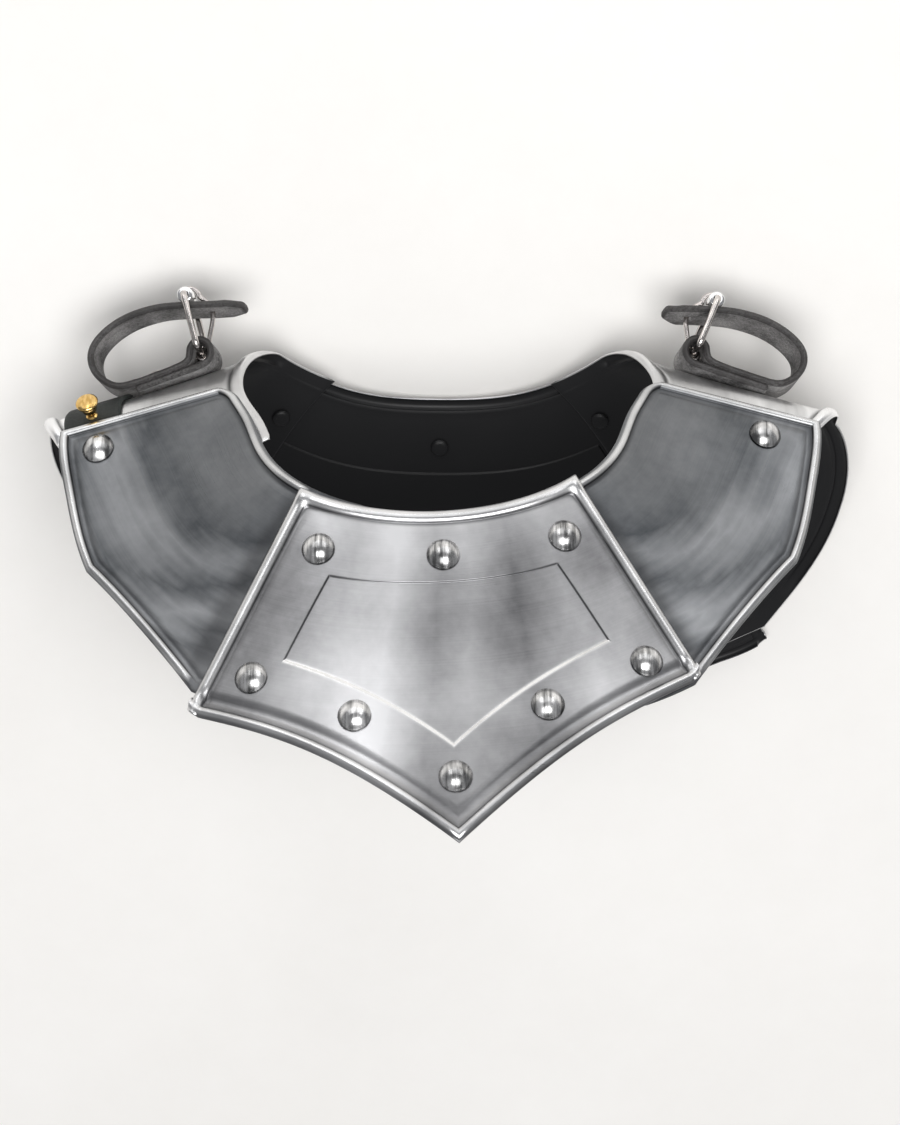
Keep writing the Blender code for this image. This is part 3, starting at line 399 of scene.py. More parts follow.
finish = {
    "centreSteel": brushedSteel("centreSteel", steelLook["centre"], paintedCentreReflections),
    "sideSteel": brushedSteel("sideSteel", steelLook["side"], paintedSideReflections),
    # a lighter copy of the side steel: painted reflection on the shoulder crests
    "crestSteelPaintedReflection": brushedSteel("crestSteelPaintedReflection", steelLook["crest"], paintedSideReflections),
    "paint": blackPaint("satinBlackPaint"),
    "strapLeather": grainedLeather("strapLeather", leatherLook["strap"]),
    "tabLeather": grainedLeather("tabLeather", leatherLook["tab"]),
}
for metal in ("rivetSteel", "nickel", "chrome", "brass"):
    finish[metal] = polishedMetal(metal)
print("finishes made")


# Meshes

def inScene(name, data):
    thing = bpy.data.objects.new(name, data)
    bpy.context.scene.collection.objects.link(thing)
    return thing


def meshPiece(name, points, faces, materials, faceSlots=None, maps=None, attributes=None, smoothAngle=None):
    mesh = bpy.data.meshes.new(name)
    mesh.from_pydata([tuple(p) for p in points], [], faces)
    for material in materials:
        mesh.materials.append(material)
    if faceSlots is not None:
        mesh.polygons.foreach_set("material_index", faceSlots)
    for key, values in (attributes or {}).items():
        mesh.attributes.new(key, "FLOAT", "POINT").data.foreach_set("value", np.asarray(values, np.float32))
    corners = np.zeros(len(mesh.loops), np.int32)
    mesh.loops.foreach_get("vertex_index", corners)
    for key, values in (maps or {}).items():
        mesh.uv_layers.new(name=key).data.foreach_set("uv", np.asarray(values, np.float32)[corners].ravel())
    mesh.shade_smooth()
    if smoothAngle:
        mesh.set_sharp_from_angle(angle=math.radians(smoothAngle))
    mesh.validate()
    return inScene(name, mesh)


def rightSideOut(thing):
    work = bmesh.new()
    work.from_mesh(thing.data)
    bmesh.ops.remove_doubles(work, verts=work.verts, dist=1e-6)
    bmesh.ops.recalc_face_normals(work, faces=work.faces)
    if work.calc_volume(signed=True) < 0:
        bmesh.ops.reverse_faces(work, faces=work.faces)
    work.to_mesh(thing.data)
    work.free()
    return thing


rimSteps = 4  # facets over the round rim of a sheet


# A closed shell between two grids of points, with a round rim and some cells left open
def shellPiece(name, outer, inner, materials, maps=None, attributes=None, openCells=()):
    rows, columns = outer.shape[:2]
    count = rows * columns
    cells = np.ones((rows - 1, columns - 1), bool)
    for i, j in openCells:
        cells[i, j] = False
    index = np.arange(count).reshape(rows, columns)
    i, j = np.nonzero(cells)
    quads = np.stack([index[i, j], index[i + 1, j], index[i + 1, j + 1], index[i, j + 1]], axis=1)
    faces = quads.tolist() + (quads[:, ::-1] + count).tolist()
    slots = [0] * len(quads) + [1 if len(materials) > 1 else 0] * len(quads)
    flat = outer.reshape(-1, 3)
    under = inner.reshape(-1, 3)
    points = [flat, under]
    sources = [np.arange(count), np.arange(count)]
    edgeWays = np.zeros((count, 3))  # away from the material, at each edge point
    sides = []
    for (di, dj), (a, b) in (((0, -1), (0, 1)), ((1, 0), (1, 2)), ((0, 1), (2, 3)), ((-1, 0), (3, 0))):
        ni, nj = i + di, j + dj
        inside = (ni >= 0) & (ni < rows - 1) & (nj >= 0) & (nj < columns - 1)
        isEdge = ~inside
        isEdge[inside] = ~cells[ni[inside], nj[inside]]
        for k in np.nonzero(isEdge)[0]:
            here, there = quads[k, a], quads[k, b]
            away = flat[[here, there]].mean(0) - flat[quads[k]].mean(0)
            edgeWays[here] += away
            edgeWays[there] += away
            sides.append((here, there))
    used = sorted({v for pair in sides for v in pair})
    slotOf = {v: k for k, v in enumerate(used)}
    used = np.array(used)
    middle, half = 0.5 * (flat[used] + under[used]), 0.5 * (flat[used] - under[used])
    thick = np.linalg.norm(half, axis=1, keepdims=True)
    upWay = half / np.maximum(thick, 1e-9)
    away = edgeWays[used]
    away -= (away * upWay).sum(1, keepdims=True) * upWay
    away = unit(away)
    for k in range(1, rimSteps):
        angle = math.pi * k / rimSteps
        points.append(middle + half * math.cos(angle) + away * thick * math.sin(angle))
        sources.append(used)
    for here, there in sides:
        ladder = [(here, there)]
        for k in range(rimSteps - 1):
            first = 2 * count + k * len(used)
            ladder.append((first + slotOf[here], first + slotOf[there]))
        ladder.append((here + count, there + count))
        for (p, q), (u, v) in zip(ladder, ladder[1:]):
            faces.append((q, p, u, v))
            slots.append(0)
    sources = np.concatenate(sources)
    maps = {key: np.asarray(values).reshape(count, 2)[sources] for key, values in (maps or {}).items()}
    attributes = {key: np.asarray(values).reshape(count)[sources]
                  for key, values in (attributes or {}).items()}
    return meshPiece(name, np.concatenate(points), faces, materials, slots, maps, attributes)


def turnedMesh(profile, sides):
    points, faces, rings = [], [], []
    for radius, height in profile:
        start = len(points)
        if radius == 0:
            points.append((0.0, 0.0, height))
            rings.append([start] * sides)
            continue
        for k in range(sides):
            angle = 2 * math.pi * k / sides
            points.append((radius * math.cos(angle), radius * math.sin(angle), height))
        rings.append(list(range(start, start + sides)))
    for upper, lower in zip(rings, rings[1:]):
        for k in range(sides):
            n = (k + 1) % sides
            face = list(dict.fromkeys((upper[k], lower[k], lower[n], upper[n])))
            if len(face) > 2:
                faces.append(face)
    return points, faces


def smoothPath(points, perSpan):
    points = np.asarray(points, float)
    ends = np.concatenate([[2 * points[0] - points[1]], points, [2 * points[-1] - points[-2]]])
    path = []
    for i in range(1, len(ends) - 2):
        a, b, c, d = ends[i - 1 : i + 3]
        for k in range(perSpan):
            t = k / perSpan
            path.append(0.5 * (2 * b + (c - a) * t + (2 * a - 5 * b + 4 * c - d) * t**2
                               + (3 * b - a - 3 * c + d) * t**3))
    return np.array(path + [points[-1]])


tubeEnd = 0.5  # how far a tube's end bulges, in radii


def tubePiece(name, path, radius, sides, across, closed, material):
    path, across = np.asarray(path, float), unit(np.asarray(across, float))
    radii = np.broadcast_to(radius, len(path))
    count = len(path)
    points, faces = [], []
    for i in range(count):
        before = path[i - 1] if i or closed else path[i]
        after = path[(i + 1) % count] if i + 1 < count or closed else path[i]
        out = unit(np.cross(after - before, across))
        for k in range(sides):
            angle = 2 * math.pi * k / sides
            points.append(path[i] + radii[i] * (math.cos(angle) * out + math.sin(angle) * across))
    for i in range(count if closed else count - 1):
        j = (i + 1) % count
        for k in range(sides):
            n = (k + 1) % sides
            faces.append((i * sides + k, j * sides + k, j * sides + n, i * sides + n))
    if not closed:
        for end, last in ((0, 1), (count - 1, count - 2)):
            points.append(path[end] + unit(path[end] - path[last]) * radii[end] * tubeEnd)
            for k in range(sides):
                faces.append((len(points) - 1, end * sides + k, end * sides + (k + 1) % sides))
    return rightSideOut(meshPiece(name, points, faces, [material]))


# Plates

def smoothStep(x):
    x = np.clip(x, 0.0, 1.0)
    return x * x * (3.0 - 2.0 * x)


def arc(share):  # height of a round, at a share of its radius from the middle
    return np.sqrt(1 - share**2)


def constant(value):
    return lambda x: value + 0 * np.asarray(x, float)


def slant(line, s):  # how much longer a way along r is than the same way square to a line
    before = (line(s - 0.5 * slopeStep) - line(s - 1.5 * slopeStep)) / slopeStep
    after = (line(s + 1.5 * slopeStep) - line(s + 0.5 * slopeStep)) / slopeStep
    slope = 0.5 * (np.abs(before) + np.abs(after)) / stretch(s, line(s))
    return np.sqrt(1 + slope**2)


halfWay = 0.05  # a reach half way down a plate, where a search for a crossing starts
settleRounds = 12


class Plate:
    def __init__(self, sideA, sideB, start, reach, middle=0.0, turn=0.0):
        self.sideA, self.sideB, self.start, self.reach = sideA, sideB, start, reach
        self.middle, self.turn = middle, turn

    def fromA(self, distance):
        return lambda r: self.sideA(r) + distance / stretch(self.sideA(r), r)

    def fromB(self, distance):
        return lambda r: self.sideB(r) - distance / stretch(self.sideB(r), r)

    def fromNeck(self, distance):
        return lambda s: self.start(s) + distance * slant(self.start, s)

    def fromLower(self, distance):
        return lambda s: self.reach(s) - distance * slant(self.reach, s)

    def turned(self, s, r):
        wide = stretch(s, r)
        return s + self.turn * r / wide, r - self.turn * (s - self.middle) * wide

    def grid(self, columns, rows):
        r = np.zeros((len(rows), len(columns))) + np.linspace(0, 2 * halfWay, len(rows))[:, None]
        s = np.zeros_like(r)
        for _ in range(settleRounds):
            for j, column in enumerate(columns):
                s[:, j] = self.line(column, r[:, j])
            for i, row in enumerate(rows):
                r[i] = self.line(row, s[i])
        return s, r

    def line(self, item, x):  # a line, or a share of the way between two of them
        if callable(item):
            return item(x)
        a, b, share = item
        return a(x) * (1 - share) + b(x) * share

    def cross(self, column, row):
        r = np.array(halfWay)
        for _ in range(settleRounds):
            s = column(r)
            r = row(s)
        return s, r

    def distances(self, s, r):
        return {
            "neck": (r - self.start(s)) / slant(self.start, s),
            "lower": (self.reach(s) - r) / slant(self.reach, s),
            "sideA": (s - self.sideA(r)) * stretch(self.sideA(r), r),
            "sideB": (self.sideB(r) - s) * stretch(self.sideB(r), r),
        }

    def point(self, s, r, height=0.0):
        return lifted(*self.turned(np.asarray(s, float), np.asarray(r, float)), height)

    def normal(self, s, r):
        return outward(*self.turned(np.asarray(s, float), np.asarray(r, float)))


edge = {"width": 0.0052, "height": 0.0018, "groove": 0.0022, "grooveDepth": 0.00025, "steps": 10}
lowerEdge = {"width": 0.0040, "height": 0.0019, "groove": 0.0066, "grooveDepth": 0.0011, "steps": 10}
sideEdge = {"width": 0.0036, "height": 0.0016, "groove": 0.0034, "grooveDepth": 0.00035, "steps": 10}
panel = {"depth": 0.0007, "step": 0.0008, "lowStep": 0.0017, "fromSide": 0.0295, "fromLower": 0.0298,
         "grooveShare": 0.6, "lineAt": 0.5, "lineWide": 0.45}
knob = {"height": 0.0009, "radius": 0.0034, "at": 0.55}  # where the beads meet, in bead widths
# Painted shade: in the creases at the rolled edges, and along the panel's upper and side steps
paintedShade = {"reach": 0.0011, "share": 0.7, "centreShare": 0.55, "lineShare": 0.75}
# Polish on the bead tops, partly painted highlight, and a painted highlight along the panel's lower step
polishAndHighlight = {"from": 0.0009, "over": 0.0006, "most": 0.85, "line": 1.8, "shadeLimit": 0.9}
fade = 0.003  # over which a bead ends under another plate
gridLines = {  # how many lie between two set lines
    "besidePanel": 10, "halfPanel": 22, "abovePanel": 12, "panel": 34, "belowPanel": 14,
    "frontLap": 8, "frontCorner": 30, "frontFlank": 34, "sideRows": 50, "back": (16, 18, 12, 14, 10),
    "tab": 40, "tabRows": 16,
}


def roll(distance, size):
    share = np.clip(distance / size["width"], 0, 1)
    return size["height"] * np.sqrt(np.clip(1 - (2 * share - 1) ** 2, 0, 1))


def groove(distance, size):
    share = np.clip((distance - size["width"]) / size["groove"], 0, 1)
    return size["grooveDepth"] * np.sin(math.pi * share) ** 2


def rollLines(make, size):  # lines close together over an edge's round
    count = size["steps"]
    over = [0.5 * size["width"] * (1 - math.cos(math.pi * k / count)) for k in range(count + 1)]
    past = [size["width"] + size["groove"] * k / 4 for k in (0.25, 1, 2, 3, 4)]
    return [make(d) for d in over + past]


def between(a, b, count):
    return [(a, b, k / (count + 1)) for k in range(1, count + 1)]


def stepLines(make, start, wide=panel["step"]):
    return [make(start + wide * k / 4) for k in (-1.5, -0.5, 0, 1, 2, 3, 4, 4.5, 5.5)]


def nearest(a, b):  # the smaller of two distances, rounded where they are alike
    a, b = np.maximum(a, 1e-6), np.maximum(b, 1e-6)
    return (a**-4 + b**-4) ** -0.25


def creviceShade(distance, size):  # painted shade in the crease where the sheet meets its rolled edge
    return np.exp(-(((distance - size["width"]) / paintedShade["reach"]) ** 2))


def platePiece(name, plate, columns, rows, relief, height, material, side="right"):
    s, r = plate.grid(columns, rows)
    rise, shadeAmount, bright = relief(plate.distances(s, r), s, r)
    outer = laid(plate.point(s, r, height + rise), side)
    inner = laid(plate.point(s, r, height + np.minimum(rise, edge["height"]) - sheet["thick"]), side)
    lines = np.stack([(s - plate.middle) * stretch(s, halfWay + 0 * s), r], axis=-1)
    # Near-white on the bead tops, partly polish and partly painted highlight; none where painted shade lies
    shine = np.clip((rise - polishAndHighlight["from"]) / polishAndHighlight["over"], 0, polishAndHighlight["most"])
    shine = np.maximum(bright, shine) * (shadeAmount < polishAndHighlight["shadeLimit"])
    return rightSideOut(shellPiece(name, outer, inner, [material, finish["paint"]], {"plateLines": lines},
                                   {"paintedShade": shadeAmount, "polishAndHighlight": shine}))


centrePlates = {  # corners at side a and side b
    "front": {"tip": 0.144, "corners": (0.1010, 0.1010), "turn": math.radians(2.2), "corner": 0.0030,
              "panelTop": 0.031, "middleRivet": 0.0195, "cornerRivet": 0.0215, "lowRivets": (0.020, 0.0155),
              "level": level["frontCentre"]},
    "back": {"tip": 0.168, "corners": (0.156, 0.142), "turn": math.radians(1.2), "corner": 0.0060,
             "panelTop": 0.034, "middleRivet": 0.0220, "cornerRivet": 0.0235, "lowRivets": (0.020, 0.0200),
             "level": level["backCentre"]},
    "bow": 1.40, "cornerTurn": 0.97,  # hollow of the lower edges; how far an edge turns at a corner
}
rivet = {"radius": 0.0067, "height": 0.0044, "rim": 0.0004, "shank": 0.0022, "sides": 40, "headSteps": 12,
         "end": 0.0038, "endHeight": 0.0012, "endGap": 0.0006, "endSides": 24,
         "fromSide": 0.0195, "fromLower": 0.020, "tipFromLower": 0.0205, "offCentre": 0.40}
rivetHeads, rivetEnds = [], []  # (point, way) of each, in the room


def addRivet(plate, spot, height, grip, side="right"):
    s, r = spot
    up = laidWay(plate.normal(s, r), side)
    point = laid(plate.point(s, r, height), side)
    rivetHeads.append((point + up * sheet["clear"], up))
    rivetEnds.append((point - up * (grip + rivet["endGap"]), up))


def centrePlate(which):
    size = centrePlates[which]
    middle = 0.0 if which == "front" else station["backCentre"]
    half = station["frontCorner"] if which == "front" else station["backCentre"] - station["backCorner"]

    def reach(s):
        share = (np.asarray(s, float) - middle) / half
        corner = np.where(share < 0, *size["corners"])
        share = np.abs(share)
        roundShare = np.clip(1 - (1 - share) * half / size["corner"], 0, 1)
        blunt = size["corner"] * (1 - arc(centrePlates["cornerTurn"] * roundShare))
        along = share * (1 + centrePlates["bow"] * (1 - share))
        return size["tip"] - (size["tip"] - corner) * along - blunt

    plate = Plate(constant(middle - half), constant(middle + half), constant(0.0), reach,
                  middle, size["turn"])
    a, b, top, low = plate.fromA, plate.fromB, plate.fromNeck, plate.fromLower
    centre = constant(middle)
    pastStep, pastLowStep = 1.5 * panel["step"], 1.5 * panel["lowStep"]
    fromSide, panelEdge = panel["fromSide"], panel["fromSide"] + pastStep
    beadReach = edge["width"] + edge["groove"]
    lowReach = lowerEdge["width"] + lowerEdge["groove"]
    beside, across = gridLines["besidePanel"], gridLines["halfPanel"]
    columns = rollLines(a, edge) + between(a(beadReach), a(fromSide), beside) + stepLines(a, fromSide)
    columns += between(a(panelEdge), centre, across) + [centre] + between(centre, b(panelEdge), across)
    columns += stepLines(b, fromSide)[::-1] + between(b(fromSide), b(beadReach), beside)
    columns += rollLines(b, edge)[::-1]
    panelTop, panelLow = size["panelTop"], panel["fromLower"]
    rows = rollLines(top, edge) + between(top(beadReach), top(panelTop), gridLines["abovePanel"])
    rows += stepLines(top, panelTop)
    rows += between(top(panelTop + pastStep), low(panelLow + pastLowStep), gridLines["panel"])
    rows += stepLines(low, panelLow, panel["lowStep"])[::-1]
    rows += between(low(panelLow), low(lowReach), gridLines["belowPanel"]) + rollLines(low, lowerEdge)[::-1]

    def relief(d, s, r):
        sides = np.minimum(d["sideA"], d["sideB"])
        rim = nearest(sides, d["neck"])
        rise = np.maximum(roll(rim, edge), roll(d["lower"], lowerEdge))
        flat = np.minimum(smoothStep(rim / edge["width"]), smoothStep(d["lower"] / lowerEdge["width"]))
        rise = rise - groove(d["lower"], lowerEdge) * flat - groove(rim, edge) * flat * panel["grooveShare"]
        fromTop = np.minimum(sides - fromSide, d["neck"] - panelTop) / panel["step"]
        fromLow = (d["lower"] - panelLow) / panel["lowStep"]
        inside = np.minimum(fromTop, fromLow)
        rise = rise - panel["depth"] * smoothStep(inside)
        ball = np.hypot(sides - edge["width"] * knob["at"], d["neck"] - edge["width"] * knob["at"])
        rise = rise + knob["height"] * np.exp(-((ball / knob["radius"]) ** 2)) * (d["neck"] > 0)
        # Painted shade in the bead creases and along the panel's upper and side steps, and a painted
        # highlight along its lower step, as light from the neck side falls on a sunken panel
        line = np.exp(-(((inside - panel["lineAt"]) / panel["lineWide"]) ** 2))
        shadeAmount = np.maximum(creviceShade(rim, edge), creviceShade(d["lower"], lowerEdge)) * flat
        dark = paintedShade["lineShare"] * line * (fromTop < fromLow)
        bright = polishAndHighlight["line"] * line * (fromLow <= fromTop)
        return rise, np.maximum(paintedShade["centreShare"] * shadeAmount, dark), bright

    piece = platePiece(f"{which}CentrePlate", plate, columns, rows, relief, size["level"],
                       finish["centreSteel"])
    span, inset, lower = rivet["offCentre"] * half, rivet["fromSide"], low(rivet["fromLower"])
    lapped = [(a(inset), top(size["cornerRivet"])), (b(inset), top(size["cornerRivet"])),
              (a(inset), low(size["lowRivets"][0])), (b(inset), low(size["lowRivets"][1]))]
    alone = [(centre, top(size["middleRivet"])), (constant(middle - span), lower),
             (constant(middle + span), lower), (centre, low(rivet["tipFromLower"]))]
    for spots, grip in ((lapped, 2 * sheet["thick"] + sheet["lapGap"]), (alone, sheet["thick"])):
        for column, row in spots:
            addRivet(plate, plate.cross(column, row), size["level"], grip)
    return piece


sidePlates = {
    "cornerReach": 0.0964, "flankReach": 0.0877, "shoulderReach": 0.0740, "hollow": (0.0060, -0.0010),
    "backCorner": {"left": 0.1374, "right": 0.1514}, "backFlank": {"left": 0.104, "right": 0.121},
    "backCrest": {"left": 0.0872, "right": 0.0900}, "backSeam": {"left": 0.0780, "right": 0.0750},
    "tongueReach": 0.035, "tongueWidth": 0.030, "shoulderLap": {"left": 0.0066, "right": 0.024},
    "crestRim": {"left": 0.0035, "right": 0.0}, "tongueRim": {"left": 0.0035, "right": -0.0040},
    "roundCorner": 0.0095, "roundTurn": 0.95, "tongueBead": 0.3,
    "underShade": (0.6, 0.004), "endShade": 0.004,
    "rivetFromSeam": 0.0125, "rivetFromEnd": {"left": 0.0118, "right": 0.0193},
}


def reachThrough(stations, values, hollows=None):
    hollows = hollows or (0.0,) * (len(stations) - 1)

    def reach(s):
        s = np.asarray(s, float)
        place = np.interp(s, stations, range(len(stations)))
        span = np.clip(place.astype(int), 0, len(hollows) - 1)
        share = place - span
        return np.interp(s, stations, values) - np.take(hollows, span) * 4 * share * (1 - share)

    return reach


def frontSide(side):
    corner, flank, seam = station["frontCorner"], station["frontFlank"], station["seam"]
    reach = reachThrough((corner, flank, seam), (sidePlates["cornerReach"], sidePlates["flankReach"],
                                                 sidePlates["shoulderReach"]), sidePlates["hollow"])
    wide = sidePlates["roundCorner"]

    def start(s):
        share = np.clip((np.asarray(s, float) - (seam - wide)) / wide, 0, 1)
        return wide * (1 - arc(sidePlates["roundTurn"] * share))

    plate = Plate(lambda r: corner - sheet["lap"] / stretch(corner + 0 * r, r), constant(seam),
                  start, reach)
    a, b, top, low = plate.fromA, plate.fromB, plate.fromNeck, plate.fromLower
    far = sideEdge["width"] + sideEdge["groove"]
    columns = [a(0)] + between(a(0), constant(corner), gridLines["frontLap"]) + [constant(corner)]
    columns += between(constant(corner), constant(flank), gridLines["frontCorner"]) + [constant(flank)]
    columns += between(constant(flank), b(far), gridLines["frontFlank"]) + rollLines(b, sideEdge)[::-1]
    rows = rollLines(top, sideEdge) + between(top(far), low(far), gridLines["sideRows"])
    rows += rollLines(low, sideEdge)[::-1]

    def relief(d, s, r):
        rim = np.minimum(np.minimum(d["neck"], d["lower"]), d["sideB"])
        shown = np.clip(1 + (d["sideA"] - sheet["lap"]) / fade, 0, 1)
        clearOfEdge = smoothStep(rim / sideEdge["width"])
        rise = roll(rim, sideEdge) * shown - groove(rim, sideEdge) * clearOfEdge
        # Painted shade where the plate goes under the centre plate, and in the creases at its rolled edges
        share, reachOut = sidePlates["underShade"]
        under = share * np.exp(-(np.clip(d["sideA"] - sheet["lap"], 0, 1) / reachOut) ** 2)
        return rise, np.maximum(paintedShade["share"] * creviceShade(rim, sideEdge) * clearOfEdge, under), 0 * rise

    piece = platePiece(f"{side}FrontPlate", plate, columns, rows, relief, level["frontSide"],
                       finish["sideSteel"], side)
    spot = plate.cross(b(sidePlates["rivetFromSeam"]),
                       constant(sidePlates["shoulderReach"] - sidePlates["rivetFromEnd"][side]))
    grip = sheet["thick"] + (sheet["clear"] + sheet["tab"] if side == "left" else -level["backSide"])
    addRivet(plate, spot, level["frontSide"], grip, side)
    return piece


def backSide(side):
    seam, crest, flank, corner = (station[k] for k in ("seam", "crest", "backFlank", "backCorner"))
    tongue, lap = sidePlates["tongueReach"], sidePlates["shoulderLap"][side]
    reach = reachThrough((seam - tongue, seam, crest, flank, corner),
                         (sidePlates["shoulderReach"] - edge["width"], sidePlates["backSeam"][side],
                          sidePlates["backCrest"][side], sidePlates["backFlank"][side],
                          sidePlates["backCorner"][side]))

    def frontEdge(r):
        outer = smoothStep((r - sidePlates["tongueWidth"]) / sidePlates["tongueWidth"])
        return seam - (tongue + (lap - tongue) * outer) / stretch(seam + 0 * r, r)

    def onTongue(s):
        return smoothStep((crest - np.asarray(s, float)) / (crest - seam))

    def start(s):
        atCrest, atTongue = sidePlates["crestRim"][side], sidePlates["tongueRim"][side]
        return -(atCrest + (atTongue - atCrest) * onTongue(s))

    plate = Plate(frontEdge, lambda r: corner + sheet["lap"] / stretch(corner + 0 * r, r), start, reach)
    a, b, top, low = plate.fromA, plate.fromB, plate.fromNeck, plate.fromLower
    far = edge["width"] + edge["groove"]
    stops = [a(0), constant(seam), constant(crest), constant(flank), constant(corner), b(0)]
    columns = [stops[0]]
    for before, after, count in zip(stops, stops[1:], gridLines["back"]):
        columns += between(before, after, count) + [after]
    rows = rollLines(top, edge) + between(top(far), low(far), gridLines["sideRows"])
    rows += rollLines(low, edge)[::-1]

    def relief(d, s, r):
        shown = np.clip(1 + (d["sideB"] - sheet["lap"]) / fade, 0, 1)
        bare = np.clip((s - seam) * stretch(s, r) / fade + 1, 0, 1)
        rim = np.minimum(d["neck"], d["lower"])
        clearOfEdge = smoothStep(rim / edge["width"])
        neckRoll = roll(d["neck"], edge) * (1 - (1 - sidePlates["tongueBead"]) * onTongue(s))
        rise = np.maximum(neckRoll, roll(d["lower"], edge) * bare) * shown
        # Painted shade in the creases at the rolled edges and at the end that goes under the centre plate
        shadeAmount = np.maximum(paintedShade["share"] * creviceShade(rim, edge) * clearOfEdge,
                          np.exp(-((d["sideB"] / sidePlates["endShade"]) ** 2)))
        return rise - groove(rim, edge) * clearOfEdge * bare, shadeAmount, 0 * rise

    return platePiece(f"{side}BackPlate", plate, columns, rows, relief, level["backSide"],
                      finish["crestSteelPaintedReflection"], side)


plates = {"front_centre_plate": centrePlate("front"), "back_centre_plate": centrePlate("back")}
for side in sideSign:
    plates[f"front_{side}_plate"] = frontSide(side)
    plates[f"back_{side}_plate"] = backSide(side)
for node, piece in plates.items():
    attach(piece, "root")
    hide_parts(node)
print("plates made:", sum(len(p.data.polygons) for p in plates.values()), "faces")


# Rivets, set on their points by Geometry Nodes

def pointSetter(name):
    tree = bpy.data.node_groups.new(name, "GeometryNodeTree")
    for socket, kind in (("Geometry", "Geometry"), ("Pattern", "Object"), ("Finish", "Material")):
        tree.interface.new_socket(socket, in_out="INPUT", socket_type="NodeSocket" + kind)
    tree.interface.new_socket("Geometry", in_out="OUTPUT", socket_type="NodeSocketGeometry")
    make = tree.nodes.new
    given, made = make("NodeGroupInput"), make("NodeGroupOutput")
    pattern, ways = make("GeometryNodeObjectInfo"), make("GeometryNodeInputNamedAttribute")
    ways.data_type = "FLOAT_VECTOR"
    ways.inputs["Name"].default_value = "facing"
    turn, setOn = make("FunctionNodeAlignRotationToVector"), make("GeometryNodeInstanceOnPoints")
    turn.axis = "Z"
    real, paint = make("GeometryNodeRealizeInstances"), make("GeometryNodeSetMaterial")
    for source, output, target, entry in (
            (given, "Pattern", pattern, "Object"), (ways, "Attribute", turn, "Vector"),
            (given, "Geometry", setOn, "Points"), (pattern, "Geometry", setOn, "Instance"),
            (turn, "Rotation", setOn, "Rotation"), (setOn, "Instances", real, "Geometry"),
            (real, "Geometry", paint, "Geometry"), (given, "Finish", paint, "Material"),
            (paint, "Geometry", made, "Geometry")):
        tree.links.new(source.outputs[output], target.inputs[entry])
    return tree


setter = pointSetter("setOnPoints")
sharpFrom = 50  # degrees


def setOnPoints(name, places, profile, sides, material):
    points, faces = turnedMesh(profile, sides)
    pattern = rightSideOut(meshPiece(name + "Pattern", points, faces, [material], smoothAngle=sharpFrom))
    mesh = bpy.data.meshes.new(name)
    mesh.from_pydata([tuple(point) for point, way in places], [], [])
    ways = np.array([way for point, way in places], np.float32)
    mesh.attributes.new("facing", "FLOAT_VECTOR", "POINT").data.foreach_set("vector", ways.ravel())
    holder = inScene(name + "Points", mesh)
    modifier = holder.modifiers.new("set", "NODES")
    modifier.node_group = setter
    sockets = {item.name: item.identifier for item in setter.interface.items_tree if item.in_out == "INPUT"}
    modifier[sockets["Pattern"]] = pattern
    modifier[sockets["Finish"]] = material
    bpy.context.view_layer.update()
    made = bpy.data.meshes.new_from_object(holder.evaluated_get(bpy.context.evaluated_depsgraph_get()))
    holder.modifiers.remove(modifier)
    piece = inScene(name, made)
    for spare in (holder, pattern):
        bpy.data.objects.remove(spare)
    return piece


def dome(radius, height, steps):
    ball = (radius**2 + height**2) / (2 * height)
    full = math.asin(min(1.0, radius / ball))
    angles = [full * k / steps for k in range(steps + 1)]
    return [(ball * math.sin(angle), height - ball + ball * math.cos(angle)) for angle in angles]


rim, shank = rivet["rim"], rivet["shank"]
headProfile = [(r, z + rim) for r, z in dome(rivet["radius"], rivet["height"] - rim, rivet["headSteps"])]
headProfile += [(rivet["radius"] - rim / 2, 0.0), (0, 0.0)]
endTop, endGap, endWide = rivet["endHeight"], rivet["endGap"], rivet["end"]
endShape = ((1, 0), (1, -0.4), (0.85, -0.85), (0.5, -1), (0, -1))  # shares of its radius and height
endProfile = [(0, endGap), (shank, endGap), (shank, 0)]
endProfile += [(wide * endWide, high * endTop) for wide, high in endShape]
heads = setOnPoints("rivetHeads", rivetHeads, headProfile, rivet["sides"], finish["rivetSteel"])
ends = setOnPoints("rivetEnds", rivetEnds, endProfile, rivet["endSides"], finish["paint"])
rivetNodes = [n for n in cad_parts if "_rivet" in n and "strap" not in n]
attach(heads, "root")
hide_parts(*rivetNodes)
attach(ends, "root")
print("rivets made:", len(rivetHeads))


# Straps and buckles

strapSizes = {
    "width": 0.020, "thick": 0.0024, "skin": 0.0029, "reach": 0.0607, "rivet": 0.0375, "flat": 0.0068,
    "gap": 0.0007, "slot": 0.0050, "spans": 8, "edgeRound": 0.0009, "edgeThin": 0.86,
    "endCut": 0.0060, "endNarrow": 0.5, "edgeWear": (0.87, 0.05),
    "lanes": (-0.5, -0.49, -0.465, -0.43, -0.36, -0.3025, -0.245, -0.1875, -0.13, 0.0),
    "headRadius": 0.0052, "headHeight": 0.0030, "headRim": 0.0003, "headSides": 32, "headSteps": 10,
    "endTaper": 0.8, "upperShare": 0.5, "topShare": 0.6,
    "left": {"outset": 0.000, "rise": 0.0330, "freeEnd": -0.0070, "endSlope": 0.30, "roller": 0.0142,
             "tail": 0.045},
    "right": {"outset": 0.008, "rise": 0.0304, "freeEnd": -0.0005, "endSlope": 0.10, "roller": 0.0180,
              "tail": 0.048},
}
